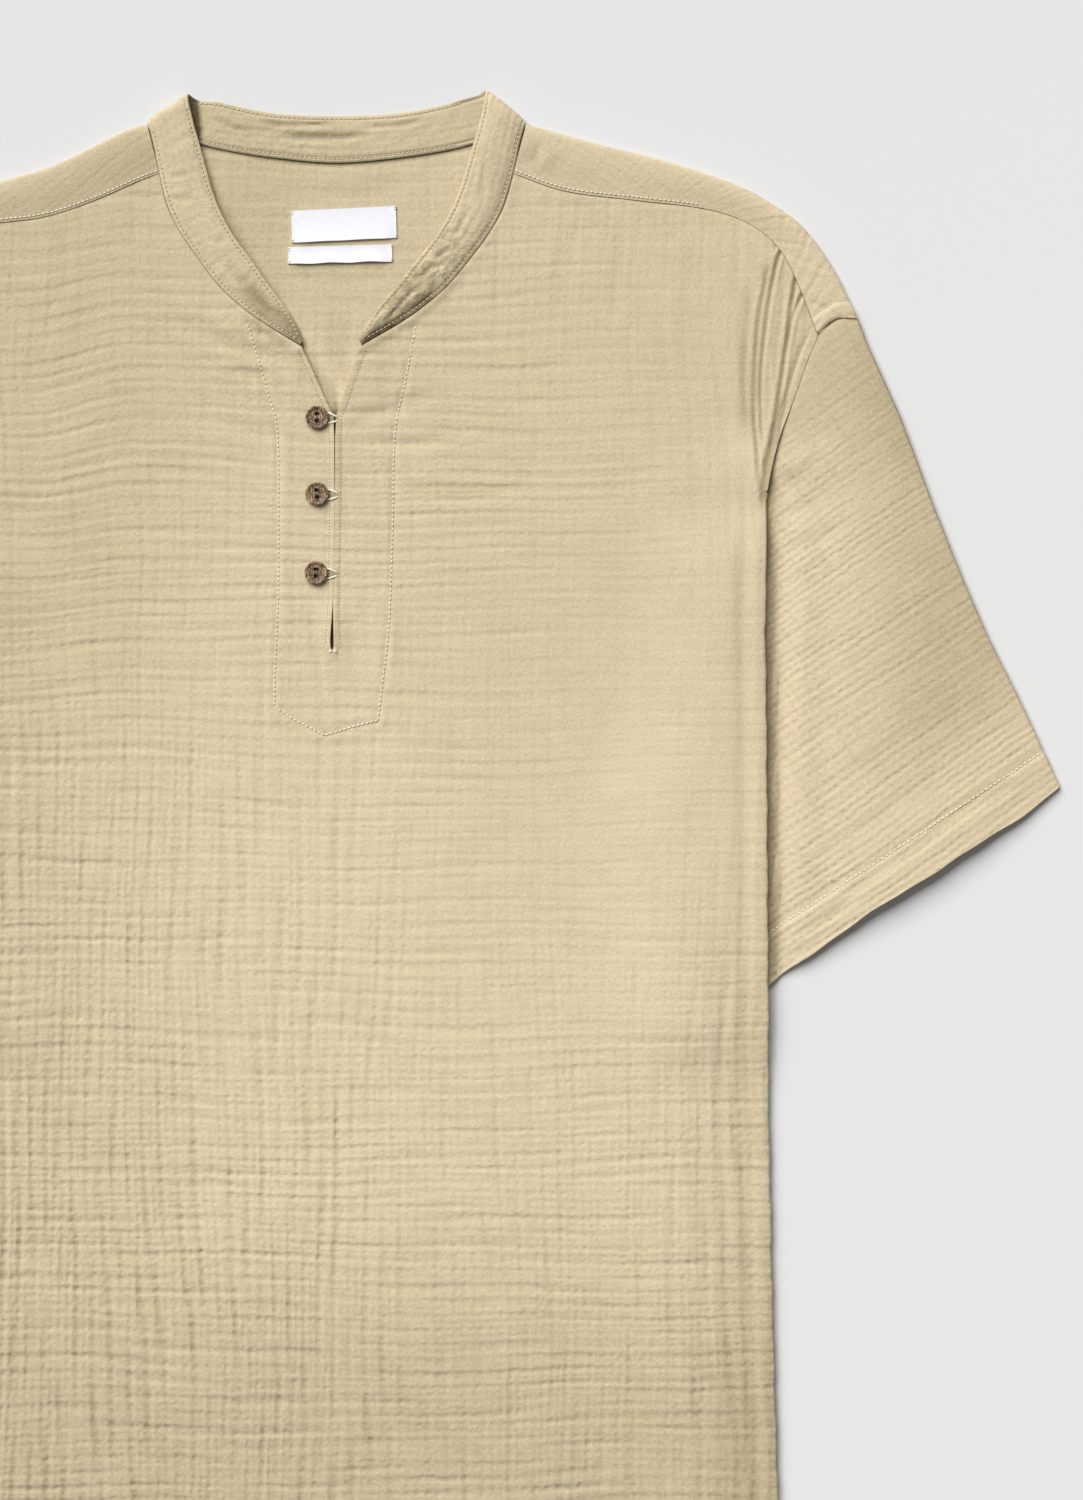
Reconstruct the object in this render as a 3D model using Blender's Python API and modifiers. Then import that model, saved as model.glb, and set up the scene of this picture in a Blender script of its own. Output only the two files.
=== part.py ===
"""A short-sleeved shirt with a mandarin collar, in crinkled double gauze, laid flat on its back.

The origin is on the surface it lies on, at the middle of its outline: +X to the right as seen from above,
+Y to the collar, +Z up. The tables are in millimetres and are scaled to metres when a mesh is made.
Every panel is cut as a grid between its seams, laid at its own height in the pile, and given its wall.
"""

from collections import namedtuple
from math import cos, pi, radians, sin

import bmesh
import bpy
import numpy as np

MM = 0.001

# Driving dimensions
CLOTH = 1.0  # wall of the crinkled double gauze
GAP = 0.4  # between two layers that lie on each other, and across a seam
LAYER = CLOTH + GAP  # from the middle of one layer to the middle of the next
HEM_Y = -390.2  # bottom edge of the body
SIDE_TUCK = 36.0  # cloth turned in at each side, between front and back
UNDERARM_Y = 9.7
BAND_WALL = 2.0  # the collar band: two layers and a stiffener
BUTTON_RADIUS = 6.0
BUTTON_WALL = 2.4
LOOP_RADIUS = 0.5
SHOULDER_DROP = 10.0  # how much lower the left shoulder and sleeve were laid

FLOOR_LAYER = CLOTH / 2  # middle of the layer that rests on the surface
SECOND_LAYER = FLOOR_LAYER + LAYER
PILE_SPARE = 0.4  # more air where the sleeve lies in the pile

# Side fold of the body from armpit to hem. tuck is how far the front and the back turn in between each other.
Side = namedtuple("Side", "y fold_x front_tuck back_tuck")
SIDE = [
    Side(173.4, 232.0, 3.0, 0.0),
    Side(118.0, 232.5, 10.0, 3.0),
    Side(90.0, 232.8, 14.5, 9.0),
    Side(60.0, 233.0, 20.0, 17.0),
    Side(30.0, 233.2, 28.0, 27.0),
    Side(UNDERARM_Y, 233.4, SIDE_TUCK, SIDE_TUCK),
    Side(-155.0, 234.4, SIDE_TUCK, SIDE_TUCK),
    Side(-262.0, 236.4, SIDE_TUCK, SIDE_TUCK),
    Side(HEM_Y, 240.0, SIDE_TUCK, SIDE_TUCK),
]
FRONT_PLEAT_Y = SIDE[0].y  # above here the front ends at the armhole seam
BACK_PLEAT_Y = SIDE[1].y

# Shoulder: the fold is the outline, and the seam lies in front of it, where the back meets the front.
Shoulder = namedtuple("Shoulder", "fold_x fold_y seam_x seam_y")
SHOULDER = [
    Shoulder(103.0, 372.0, 96.3, 345.6),
    Shoulder(134.0, 363.2, 124.0, 336.2),
    Shoulder(176.6, 352.4, 163.0, 331.2),
    Shoulder(212.0, 341.0, 200.0, 326.6),
    Shoulder(234.0, 330.2, 224.0, 318.4),
    Shoulder(252.0, 317.0, 240.5, 304.6),
    Shoulder(268.5, 295.5, 251.5, 284.6),
    Shoulder(283.6, 268.0, 262.6, 258.7),
]

# Neck: the seam where the band is sewn on and the free top edge of the band, from the middle of the back round
# to the front end. The first rows show the inside of the band, and the rows after the fold its outside.
Band = namedtuple("Band", "seam_x seam_y top_x top_y seam_z top_z")
BAND_BACK = [
    Band(0.0, 351.5, 0.0, 376.7, 1.0, 1.0),
    Band(34.0, 354.3, 31.0, 377.8, 1.0, 1.0),
    Band(63.0, 359.0, 54.0, 381.8, 1.0, 1.0),
    Band(86.0, 365.2, 69.5, 386.0, 1.0, 1.0),
    Band(98.4, 370.2, 77.8, 388.0, 1.0, 1.0),
]
BAND_FRONT = [
    Band(98.4, 370.2, 77.8, 388.0, 3.8, 4.6),
    Band(95.8, 347.5, 72.4, 353.5, 3.0, 5.0),
    Band(91.2, 329.5, 67.0, 337.6, 2.6, 5.4),
    Band(84.2, 315.2, 61.8, 324.6, 2.5, 6.0),
    Band(74.0, 300.6, 54.4, 311.6, 2.5, 6.8),
    Band(61.8, 285.4, 44.8, 299.0, 2.5, 7.6),
    Band(48.6, 273.4, 35.6, 286.4, 2.5, 7.8),
    Band(37.0, 265.2, 28.0, 277.0, 2.5, 7.0),
    Band(26.5, 258.8, 21.0, 267.2, 2.5, 5.4),
    Band(17.5, 253.4, 16.2, 257.8, 2.5, 3.6),
]

# Slit and V below the collar: half the opening at each height.
Slit = namedtuple("Slit", "y half_gap")
SLIT = [Slit(88.0, 0.0), Slit(100.0, 0.9), Slit(150.0, 0.45), Slit(214.0, 0.55)]
VEE = [(0.55, 214.0), (4.6, 224.0), (9.4, 236.0), (16.0, 252.2)]

# Armhole seams. The front one shows down to the pleat; below that both lie inside the side tucks.
FRONT_ARMHOLE = [(233.0, 173.4), (236.4, 190.0), (241.8, 208.7), (249.5, 227.4), (256.0, 244.0), (262.6, 258.7)]
BACK_ARMHOLE = [(232.0, 118.0), (236.0, 150.0), (244.0, 184.0), (257.0, 220.0), (271.0, 249.0), (283.6, 268.0)]

# Sleeve: the outer fold from the shoulder to the hem, the hem edge, and the seam under the arm.
SLEEVE_FOLD = [(284.5, 265.8), (305.6, 213.3), (327.2, 156.1), (349.0, 106.4), (370.6, 61.8), (392.4, 15.0)]
SLEEVE_HEM = [(226.3, -98.8), (252.2, -79.4), (295.4, -49.4), (338.6, -22.2), (372.0, -0.6), (392.4, 15.0)]
SLEEVE_SEAM = [(196.5, UNDERARM_Y), (209.0, -44.0), (226.3, -98.8)]
CUFF_LOFT = 3.0  # how far the upper layer of the sleeve stands off the lower one at the middle of the hem
HEAD_LOFT = 1.0

# What is sewn on: centres, in place on the laid shirt.
BUTTON_X = -8.6
BUTTON_Y = [213.3, 172.1, 129.5]
Label = namedtuple("Label", "name x y width height turn")
LABELS = [Label("label_main", 4.8, 318.0, 56.0, 17.0, 2.7), Label("label_size", 3.4, 301.7, 56.0, 8.6, 1.6)]

# How the centre line leans, from the placket up to the collar.
Lean = namedtuple("Lean", "y shift")
LEAN = [Lean(60.0, 0.0), Lean(95.0, -0.4), Lean(150.0, 1.1), Lean(214.0, 1.1), Lean(254.0, -1.0),
        Lean(300.0, 0.8), Lean(346.0, 1.9), Lean(390.0, 2.3)]

# Colours of the finished pieces
CLOTH_COLOUR = (0.66, 0.57, 0.36)
BUTTON_COLOUR = (0.16, 0.09, 0.05)
LOOP_COLOUR = (0.78, 0.70, 0.52)
LABEL_COLOUR = (0.86, 0.87, 0.90)


# ---------------------------------------------------------------- curves and grids

def ease(t):
    """0 to 1 with no kink at either end."""
    t = np.clip(t, 0.0, 1.0)
    return t * t * (3.0 - 2.0 * t)


def along(points, fractions):
    """Places on a smooth curve through the points, at these fractions of its length."""
    p = np.array(points, float)
    ends = np.vstack([2 * p[0] - p[1], p, 2 * p[-1] - p[-2]])
    t = np.linspace(0.0, 1.0, 24, endpoint=False)[:, None]
    fine = [
        0.5 * (2 * b + (c - a) * t + (2 * a - 5 * b + 4 * c - d) * t**2 + (3 * b - a - 3 * c + d) * t**3)
        for a, b, c, d in zip(ends, ends[1:], ends[2:], ends[3:])
    ]
    line = np.vstack([*fine, p[-1:]])
    travelled = np.concatenate([[0.0], np.cumsum(np.linalg.norm(np.diff(line, axis=0), axis=1))])
    at = np.asarray(fractions) * travelled[-1]
    return np.stack([np.interp(at, travelled, line[:, k]) for k in range(line.shape[1])], axis=1)


def even(steps):
    """Fractions from 0 to 1 in equal steps."""
    return np.linspace(0.0, 1.0, steps + 1)


def straight(start, end, fractions):
    return np.array(start, float) + np.outer(fractions, np.subtract(end, start))


def sideways(line, distance):
    """The line moved over, to the right of the way it runs."""
    p = np.array(line, float)
    run = np.gradient(p, axis=0)
    run /= np.linalg.norm(run, axis=1)[:, None]
    return p + distance * np.column_stack([run[:, 1], -run[:, 0]])


def patch(bottom, top, left, right):
    """A Coons patch between four edges: rows run from bottom to top, columns from left to right."""
    u = even(len(bottom) - 1)[None, :, None]
    v = even(len(left) - 1)[:, None, None]
    ruled = (1 - v) * bottom[None] + v * top[None] + (1 - u) * left[:, None] + u * right[:, None]
    low = (1 - u) * bottom[0] + u * bottom[-1]
    high = (1 - u) * top[0] + u * top[-1]
    return ruled - (1 - v) * low - v * high


def stack(patches):
    """Patches that follow each other upwards as one grid. Each begins with the last row of the one below."""
    return np.vstack([patches[0]] + [p[1:] for p in patches[1:]])


def side_at(y, column):
    """A column of the side table at height y."""
    rows = sorted(SIDE)
    return np.interp(y, [r.y for r in rows], [getattr(r, column) for r in rows])


# ---------------------------------------------------------------- heights in the pile

def sleeve_pile(y):
    """1 where the sleeve lies between the front and the back, 0 where only the tucks do."""
    return ease((172.0 - y) / 38.0) * ease((y + 150.0) / 40.0)


def sleeve_back_height(y):
    """Middle of the sleeve's lower layer where it lies on the back's tuck."""
    return FLOOR_LAYER + (2 * LAYER + PILE_SPARE) * ease((148.0 - y) / 30.0)


def edge_height(y):
    """Middle of the front at the side fold and along the armhole seam."""
    tucks = 2 * LAYER * ease((215.0 - y) / 41.0)
    sleeve = (2 * LAYER + 2 * PILE_SPARE) * sleeve_pile(y)
    return SECOND_LAYER + tucks + sleeve


def front_height(x, y):
    """Middle of the front: flat on the back, and rising over the pile at the side."""
    inside = side_at(y, "fold_x") - x
    ramp = 1.0 - ease((inside - side_at(y, "front_tuck") - 3.0) / 28.0)
    return SECOND_LAYER + (edge_height(y) - SECOND_LAYER) * ramp


# ---------------------------------------------------------------- making solids

def laid(points):
    """Points of the plain, even cut moved to where the shirt was laid: the leaning centre, the lower left shoulder."""
    p = np.array(points, float)
    x, y = p[..., 0].copy(), p[..., 1].copy()
    left = ease((-x - 105.0) / 60.0) * ease(y / 200.0)
    p[..., 0] = x + np.interp(y, [r.y for r in LEAN], [r.shift for r in LEAN])
    p[..., 1] = y - SHOULDER_DROP * left
    return p


def mirrored(grid):
    """The same grid on the wearer's other side, with its faces still turned the same way."""
    other = grid[:, ::-1].copy()
    other[..., 0] *= -1
    return other


def material(name, colour, roughness):
    made = bpy.data.materials.new(name)
    made.use_nodes = True
    shader = made.node_tree.nodes["Principled BSDF"]
    shader.inputs["Base Color"].default_value = (*colour, 1.0)
    shader.inputs["Roughness"].default_value = roughness
    shader.inputs["Metallic"].default_value = 0.0
    return made


def piece(name, mesh, finish, collection):
    made = bpy.data.objects.new(name, mesh)
    mesh.materials.append(finish)
    collection.objects.link(made)
    return made


def cloth(name, grids, finish, collection, wall=CLOTH, closed=False):
    """One piece of cloth from grids of points that share their edges: an open sheet with its wall from Solidify."""
    bm = bmesh.new()
    for grid in grids:
        rows = [[bm.verts.new(p * MM) for p in row] for row in laid(grid)]
        for low, high in zip(rows, rows[1:]):
            ring = range(len(low)) if closed else range(len(low) - 1)
            for i in ring:
                j = (i + 1) % len(low)
                bm.faces.new((low[i], low[j], high[j], high[i]))
    bmesh.ops.remove_doubles(bm, verts=bm.verts, dist=0.02 * MM)
    bmesh.ops.recalc_face_normals(bm, faces=bm.faces)
    mesh = bpy.data.meshes.new(name)
    bm.to_mesh(mesh)
    bm.free()
    mesh.shade_smooth()
    made = piece(name, mesh, finish, collection)
    solid = made.modifiers.new("wall", "SOLIDIFY")
    solid.thickness = wall * MM
    solid.offset = 0.0
    solid.use_even_offset = True
    return made


def on_plane(grid, height):
    """A flat grid with one height, or the height that a function of x and y gives."""
    z = height(grid[..., 0], grid[..., 1]) if callable(height) else np.full(grid.shape[:2], height)
    return np.dstack([grid, z])


# ---------------------------------------------------------------- the front

ACROSS = np.array([0.0, 0.2, 0.4, 0.56, 0.68, 0.74, 0.79, 0.84, 0.92, 1.0])  # closer where the side rises
TUCK_ARC = [radians(a) for a in (45, 90, 135, 180)]


def turned_under(edge, radius, tuck, down, steps):
    """The fold at a side edge and the tuck that returns from it. edge has a row of x, y, z for each section."""
    columns = [edge]
    for angle in TUCK_ARC:
        columns.append(edge + np.stack([radius * sin(angle) * np.ones(len(edge)),
                                        np.zeros(len(edge)),
                                        -down * radius * (1 - cos(angle)) * np.ones(len(edge))], axis=1))
    inner = columns[-1]
    for step in even(steps)[1:]:
        columns.append(inner - np.stack([step * tuck, np.zeros(len(edge)), np.zeros(len(edge))], axis=1))
    return np.stack(columns, axis=1)


def front_half():
    """Right half of the front, from the middle out to the side fold or the armhole, and the side's tuck."""
    fold = LAYER / 2
    levels = [HEM_Y, -320.0, -250.0, -185.0, -150.0, -128.0, -106.0, -60.0, UNDERARM_Y, 48.0, 88.0]
    lower = [np.array([[side_at(y, "fold_x") - fold, y]]) for y in levels]
    right = np.vstack(lower)
    left = np.array([[0.0, y] for y in levels])
    body = patch(straight(left[0], right[0], ACROSS), straight(left[-1], right[-1], ACROSS), left, right)
    body[..., 0] = ACROSS[None, :] * right[:, None, 0]  # the columns keep to their shares at every level
    body[..., 1] = np.array(levels)[:, None]

    slit = np.array([[s.half_gap, s.y] for s in SLIT])
    slit = np.stack([np.interp(np.linspace(88.0, 214.0, 6), slit[:, 1], slit[:, 0]), np.linspace(88.0, 214.0, 6)], 1)
    arm = [88.0, 104.0, 120.0, 136.0, 154.0, FRONT_PLEAT_Y]
    fold_points = np.array([[side_at(y, "fold_x") - fold, y] for y in arm])
    chest = np.stack([straight(a, b, ACROSS) for a, b in zip(slit, fold_points)])

    neckline = sideways([(r.seam_x, r.seam_y) for r in BAND_FRONT[:0:-1]], GAP)
    shoulder = sideways(along([(r.seam_x, r.seam_y) for r in SHOULDER], ACROSS), GAP)
    armhole = along(FRONT_ARMHOLE, even(len(neckline) + 1))
    armhole[0], armhole[-1] = fold_points[-1], shoulder[-1]
    vee = along(VEE, even(2))
    open_neck = np.stack([straight(a, b, ACROSS) for a, b in zip(vee, armhole[:3])])

    neckline[0], neckline[-1] = vee[-1], shoulder[0]
    upper = patch(straight(vee[-1], armhole[2], ACROSS), shoulder, neckline, armhole[2:])

    flat = stack([body, chest, open_neck, upper])
    main = on_plane(flat, front_height)
    folded = [*levels, *arm[1:]]
    edge = main[: len(folded), -1]
    tuck = np.array([side_at(y, "front_tuck") for y in folded])
    return main, turned_under(edge, fold, tuck, 1.0, 2)


def make_front(finish, collection):
    main, tuck = front_half()
    return cloth("front", [main, tuck, mirrored(main), mirrored(tuck)], finish, collection)


# ---------------------------------------------------------------- the back, with the shoulders it turns over

def back_half():
    """Right half of the back on the surface, its side tuck, and the strip that turns over the shoulder."""
    fold = LAYER / 2
    roll = 1.2  # radius of the shoulder fold
    fold_line = along([(r.fold_x, r.fold_y) for r in SHOULDER], ACROSS)
    seam_line = along([(r.seam_x, r.seam_y) for r in SHOULDER], ACROSS)
    outward = fold_line - seam_line
    outward /= np.linalg.norm(outward, axis=1)[:, None]
    centre = fold_line - (roll + FLOOR_LAYER) * outward

    neck = sideways([(r.seam_x, r.seam_y) for r in BAND_BACK], GAP)
    neck[0, 0] = 0.0
    neck[-1] = centre[0]
    top = np.vstack([neck, centre[1:]])
    columns = len(top) - 1
    pleat = np.array([side_at(BACK_PLEAT_Y, "fold_x") - 1.0 - fold, BACK_PLEAT_Y])
    armhole = along([(x, y) for x, y in BACK_ARMHOLE], even(5))
    armhole[0], armhole[-1] = pleat, centre[-1]
    middle = straight((0.0, BACK_PLEAT_Y), neck[0], even(5))
    shares = np.concatenate([even(len(BAND_BACK) - 1) * 0.42, 0.42 + ACROSS[1:] * 0.58])
    upper = patch(straight((0.0, BACK_PLEAT_Y), pleat, shares), top, middle, armhole)

    levels = [HEM_Y, -262.0, -155.0, -60.0, UNDERARM_Y, 30.0, 60.0, 90.0, BACK_PLEAT_Y]
    ends = np.array([[side_at(y, "fold_x") - 1.0 - fold, y] for y in levels])
    lower = np.stack([straight((0.0, end[1]), end, shares) for end in ends])
    main = on_plane(stack([lower, upper]), FLOOR_LAYER)

    edge = main[: len(levels), columns]
    tuck = turned_under(edge, fold, np.array([side_at(y, "back_tuck") for y in levels]), -1.0, 2)

    rows = [np.column_stack([centre, np.full(len(centre), FLOOR_LAYER)])]
    for angle in TUCK_ARC:
        rows.append(np.column_stack([centre + roll * sin(angle) * outward,
                                     np.full(len(centre), FLOOR_LAYER + roll * (1 - cos(angle)))]))
    high = FLOOR_LAYER + 2 * roll
    for share in even(2)[1:]:
        rows.append(np.column_stack([centre + share * (seam_line - centre),
                                     np.full(len(centre), high + share * (SECOND_LAYER - high))]))
    return main, tuck, np.stack(rows)


def make_back(finish, collection):
    grids = back_half()
    return cloth("back", [*grids, *map(mirrored, grids)], finish, collection)


# ---------------------------------------------------------------- the sleeves

def sleeve_rings():
    """Rings of the right sleeve from its hem to the armhole, each from the underarm seam over the top and back."""
    roll = 1.2
    upper_steps, rows = 9, 10
    out = np.array([0.92, 0.39])  # away from the outer fold
    inward = np.array([-0.95, -0.3])  # away from the underarm seam
    fold_line = along(SLEEVE_FOLD[::-1], even(rows)) - (roll + FLOOR_LAYER) * out
    seam_line = along(SLEEVE_SEAM[::-1], even(rows)) - LAYER / 2 * inward
    shares = np.array([0.0, 0.08, 0.16, 0.24, 0.34, 0.46, 0.6, 0.75, 0.88, 1.0])
    hem = along(SLEEVE_HEM, shares)
    hem[0], hem[-1] = seam_line[0], fold_line[0]

    rows_below = [r for r in SIDE if r.y > UNDERARM_Y]
    hidden = [(r.fold_x - r.front_tuck, r.y) for r in rows_below[::-1][:-1]]
    tip = SHOULDER[-1]
    strip_end = straight((tip.seam_x, tip.seam_y), (tip.fold_x, tip.fold_y), (0.35, 0.7))
    seam = sideways(FRONT_ARMHOLE[1:], GAP + 0.3).tolist() + sideways(strip_end, GAP + 0.3).tolist()
    front_top = along([seam_line[-1], *hidden, (233.4, 172.0), *seam, fold_line[-1]], shares)
    hidden = [(r.fold_x - r.back_tuck, r.y) for r in rows_below[::-1][:-2]]
    seam = sideways(BACK_ARMHOLE, GAP + 0.5)[1:-1].tolist()
    back_top = along([seam_line[-1], *hidden, (233.0, 120.0), *seam, fold_line[-1]], shares)

    front = patch(hem, front_top, seam_line, fold_line)
    back = patch(hem, back_top, seam_line, fold_line)

    def under_height(x, y):
        beyond = x - side_at(y, "fold_x")
        raised = sleeve_back_height(y) - FLOOR_LAYER
        return FLOOR_LAYER + raised * (1.0 - ease((beyond - 10.0) / 16.0))

    share_up = even(rows)[:, None]  # 0 at the hem, 1 at the armhole
    share_out = shares[None, :]
    beyond = front[..., 0] - side_at(front[..., 1], "fold_x")
    puff = ease(beyond / 40.0) * np.sin(pi * np.clip(share_out, 0.0, 1.0) ** 1.3) * (1 - ease((share_out - 0.7) / 0.5) * 0.4)
    loft = (CUFF_LOFT * (1 - share_up) + HEAD_LOFT * share_up) * puff
    low = on_plane(back, under_height)
    near_fold = (2 * roll - LAYER) * ease((share_out - 0.6) / 0.4)
    at_seam = edge_height(front[..., 1]) - 2 * LAYER * ease((215.0 - front[..., 1]) / 41.0)
    covered = under_height(front[..., 0], front[..., 1]) + LAYER
    height = np.maximum(covered, 0.0) + loft + near_fold
    near_seam = ease((share_up - 0.75) / 0.25) * ease((front[..., 1] - 186.0) / 14.0)
    height = height + near_seam * (np.maximum(at_seam, SECOND_LAYER) - covered) * 0.8
    high = np.dstack([front, height])

    def bend(start, end, direction):
        """Points half way round a fold from one layer to the other, between its two ends."""
        middle = (start + end) / 2
        radius = (end - start)[:, 2] / 2
        columns = []
        for angle in (pi / 4, pi / 2, 3 * pi / 4):
            reach = abs(radius) * sin(angle)
            columns.append(np.column_stack([middle[:, :2] + reach[:, None] * direction,
                                            middle[:, 2] - radius * cos(angle)]))
        return columns

    over = bend(high[:, -1], low[:, -1], out)
    under = bend(low[:, 0], high[:, 0], inward)
    columns = [*high.transpose(1, 0, 2), *over, *low[:, ::-1].transpose(1, 0, 2), *under]
    return np.stack(columns, axis=1)


def make_sleeves(finish, collection):
    rings = sleeve_rings()
    right = cloth("sleeve_right", [rings], finish, collection, closed=True)
    left = cloth("sleeve_left", [mirrored(rings)], finish, collection, closed=True)
    return right, left


# ---------------------------------------------------------------- the collar

def band_half():
    """Right half of the band from the middle of the back to its front end: across, from the seam to the top edge."""
    across = even(3)

    def section(row):
        seam = np.array([row.seam_x, row.seam_y, row.seam_z])
        top = np.array([row.top_x, row.top_y, row.top_z])
        return seam + across[:, None] * (top - seam)

    back = np.stack([section(r) for r in BAND_BACK])
    front = np.stack([section(r) for r in BAND_FRONT])
    start, end = back[-1], front[0]
    outward = np.array([0.65, 0.76])
    turn = []
    for angle in TUCK_ARC[:-1]:
        radius = (end[:, 2] - start[:, 2]) / 2
        lift = start[:, 2] + radius * (1 - cos(angle))
        turn.append(np.column_stack([start[:, :2] + (radius * sin(angle))[:, None] * outward, lift]))
    return np.concatenate([back, np.stack(turn), front])


def make_collar(finish, collection):
    half = band_half()
    return cloth("collar", [half, mirrored(half)], finish, collection, wall=BAND_WALL)


# ---------------------------------------------------------------- buttons, loops and labels

FRONT_FACE = SECOND_LAYER + CLOTH / 2  # upper face of the front at the placket
LOOP_HEIGHT = FRONT_FACE + 0.3 + LOOP_RADIUS
BUTTON_FOOT = LOOP_HEIGHT + LOOP_RADIUS + 0.3


def make_button(name, y, finish, collection, cutters):
    """A turned button with a raised rim and two thread holes, one above the other."""
    rim = 1.1
    profile = [
        (0.0, BUTTON_WALL - 0.5), (BUTTON_RADIUS - rim - 0.5, BUTTON_WALL - 0.5),
        (BUTTON_RADIUS - rim, BUTTON_WALL), (BUTTON_RADIUS - 0.4, BUTTON_WALL),
        (BUTTON_RADIUS, BUTTON_WALL - 0.5), (BUTTON_RADIUS, 1.0), (BUTTON_RADIUS - 1.2, 0.0), (0.0, 0.0),
    ]
    mesh = bpy.data.meshes.new(name)
    mesh.from_pydata([(x * MM, 0.0, z * MM) for x, z in profile],
                     [(i, i + 1) for i in range(len(profile) - 1)], [])
    button = piece(name, mesh, finish, collection)
    button.location = laid([BUTTON_X, y, BUTTON_FOOT]) * MM
    screw = button.modifiers.new("turned", "SCREW")
    screw.steps = screw.render_steps = 28
    screw.use_merge_vertices = True
    screw.merge_threshold = 0.00001
    for place in (-1.75, 1.75):
        bpy.ops.mesh.primitive_cylinder_add(vertices=12, radius=0.85 * MM, depth=4 * BUTTON_WALL * MM)
        hole = bpy.context.object
        hole.name = f"{name}_hole"
        hole.location = button.location
        hole.location.y += place * MM
        hole.hide_render = True
        hole.display_type = "WIRE"
        bpy.context.collection.objects.unlink(hole)
        cutters.objects.link(hole)
        cut = button.modifiers.new("hole", "BOOLEAN")
        cut.operation = "DIFFERENCE"
        cut.object = hole
    return button


def make_loop(name, y, finish, collection):
    """A cord loop from the far edge of the slit, round under the button."""
    half_width, reach, start = 1.9, BUTTON_X + 0.2, 0.9
    route = [(start, half_width), (-2.5, half_width), (-6.0, half_width)]
    route += [(reach - half_width * sin(radians(a)) * 0.9, half_width * cos(radians(a))) for a in (30, 60, 90, 120, 150)]
    route += [(-6.0, -half_width), (-2.5, -half_width), (start, -half_width)]
    curve = bpy.data.curves.new(name, "CURVE")
    curve.dimensions = "3D"
    curve.bevel_depth = LOOP_RADIUS * MM
    curve.bevel_resolution = 2
    curve.use_fill_caps = True
    spline = curve.splines.new("POLY")
    spline.points.add(len(route) - 1)
    for point, (x, dy) in zip(spline.points, route):
        point.co = (*(laid([x, y + dy, LOOP_HEIGHT]) * MM), 1.0)
    curve.materials.append(finish)
    made = bpy.data.objects.new(name, curve)
    collection.objects.link(made)
    return made


def make_label(row, finish, collection):
    """A woven label sewn flat to the inside of the back."""
    thick = 1.0
    curve = bpy.data.curves.new(row.name, "CURVE")
    curve.dimensions = "2D"
    curve.fill_mode = "BOTH"
    curve.extrude = thick / 2 * MM
    curve.materials.append(finish)
    spline = curve.splines.new("POLY")
    spline.points.add(3)
    spline.use_cyclic_u = True
    for point, (sx, sy) in zip(spline.points, ((-1, -1), (1, -1), (1, 1), (-1, 1))):
        point.co = (sx * row.width / 2 * MM, sy * row.height / 2 * MM, 0.0, 1.0)
    made = bpy.data.objects.new(row.name, curve)
    made.location = laid([row.x, row.y, CLOTH + 0.3 + thick / 2]) * MM
    made.rotation_euler.z = radians(row.turn)
    collection.objects.link(made)
    return made


# ---------------------------------------------------------------- the shirt

def main():
    for old in list(bpy.data.objects):
        bpy.data.objects.remove(old)
    shirt = bpy.data.collections.new("mandarin_collar_shirt")
    cutters = bpy.data.collections.new("cutters")
    for group in (shirt, cutters):
        bpy.context.scene.collection.children.link(group)

    gauze = material("gauze", CLOTH_COLOUR, 0.9)
    shell = material("coconut_shell", BUTTON_COLOUR, 0.55)
    cord = material("loop_cord", LOOP_COLOUR, 0.8)
    woven = material("label_satin", LABEL_COLOUR, 0.5)

    make_back(gauze, shirt)
    make_front(gauze, shirt)
    make_sleeves(gauze, shirt)
    make_collar(gauze, shirt)
    for number, y in enumerate(BUTTON_Y, start=1):
        make_button(f"button_{number}", y, shell, shirt, cutters)
        make_loop(f"loop_{number}", y, cord, shirt)
    for row in LABELS:
        make_label(row, woven, shirt)


main()
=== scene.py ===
"""The looks of a short-sleeved mandarin collar shirt in crinkled double gauze, laid flat on its back.

Sizes and places are in millimetres as on the laid shirt, seen from above, and are scaled when a mesh is made.
"""

from collections import namedtuple
from math import cos, pi, radians, sin

import bpy
import numpy as np
from mathutils import Matrix, Vector
from mathutils.bvhtree import BVHTree


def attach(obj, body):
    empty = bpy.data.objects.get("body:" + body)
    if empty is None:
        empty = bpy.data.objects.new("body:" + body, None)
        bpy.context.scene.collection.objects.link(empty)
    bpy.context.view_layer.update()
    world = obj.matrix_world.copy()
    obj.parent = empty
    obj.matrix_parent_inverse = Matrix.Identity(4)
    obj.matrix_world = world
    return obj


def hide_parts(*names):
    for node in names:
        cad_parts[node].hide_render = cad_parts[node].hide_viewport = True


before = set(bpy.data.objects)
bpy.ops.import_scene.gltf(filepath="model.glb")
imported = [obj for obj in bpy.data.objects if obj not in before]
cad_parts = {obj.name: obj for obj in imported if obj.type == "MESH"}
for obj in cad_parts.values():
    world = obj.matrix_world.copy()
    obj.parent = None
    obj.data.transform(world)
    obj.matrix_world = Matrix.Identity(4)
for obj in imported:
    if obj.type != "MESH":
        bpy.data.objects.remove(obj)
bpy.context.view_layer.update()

# ------------------------------------------------------------------------------------------------ the back
# One panel of double gauze: two fine cotton layers caught together, so that the cloth dries in small pillows.
# It lies outside down, and above the shoulder folds it turns over to a seam that lies in front of them.

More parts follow.
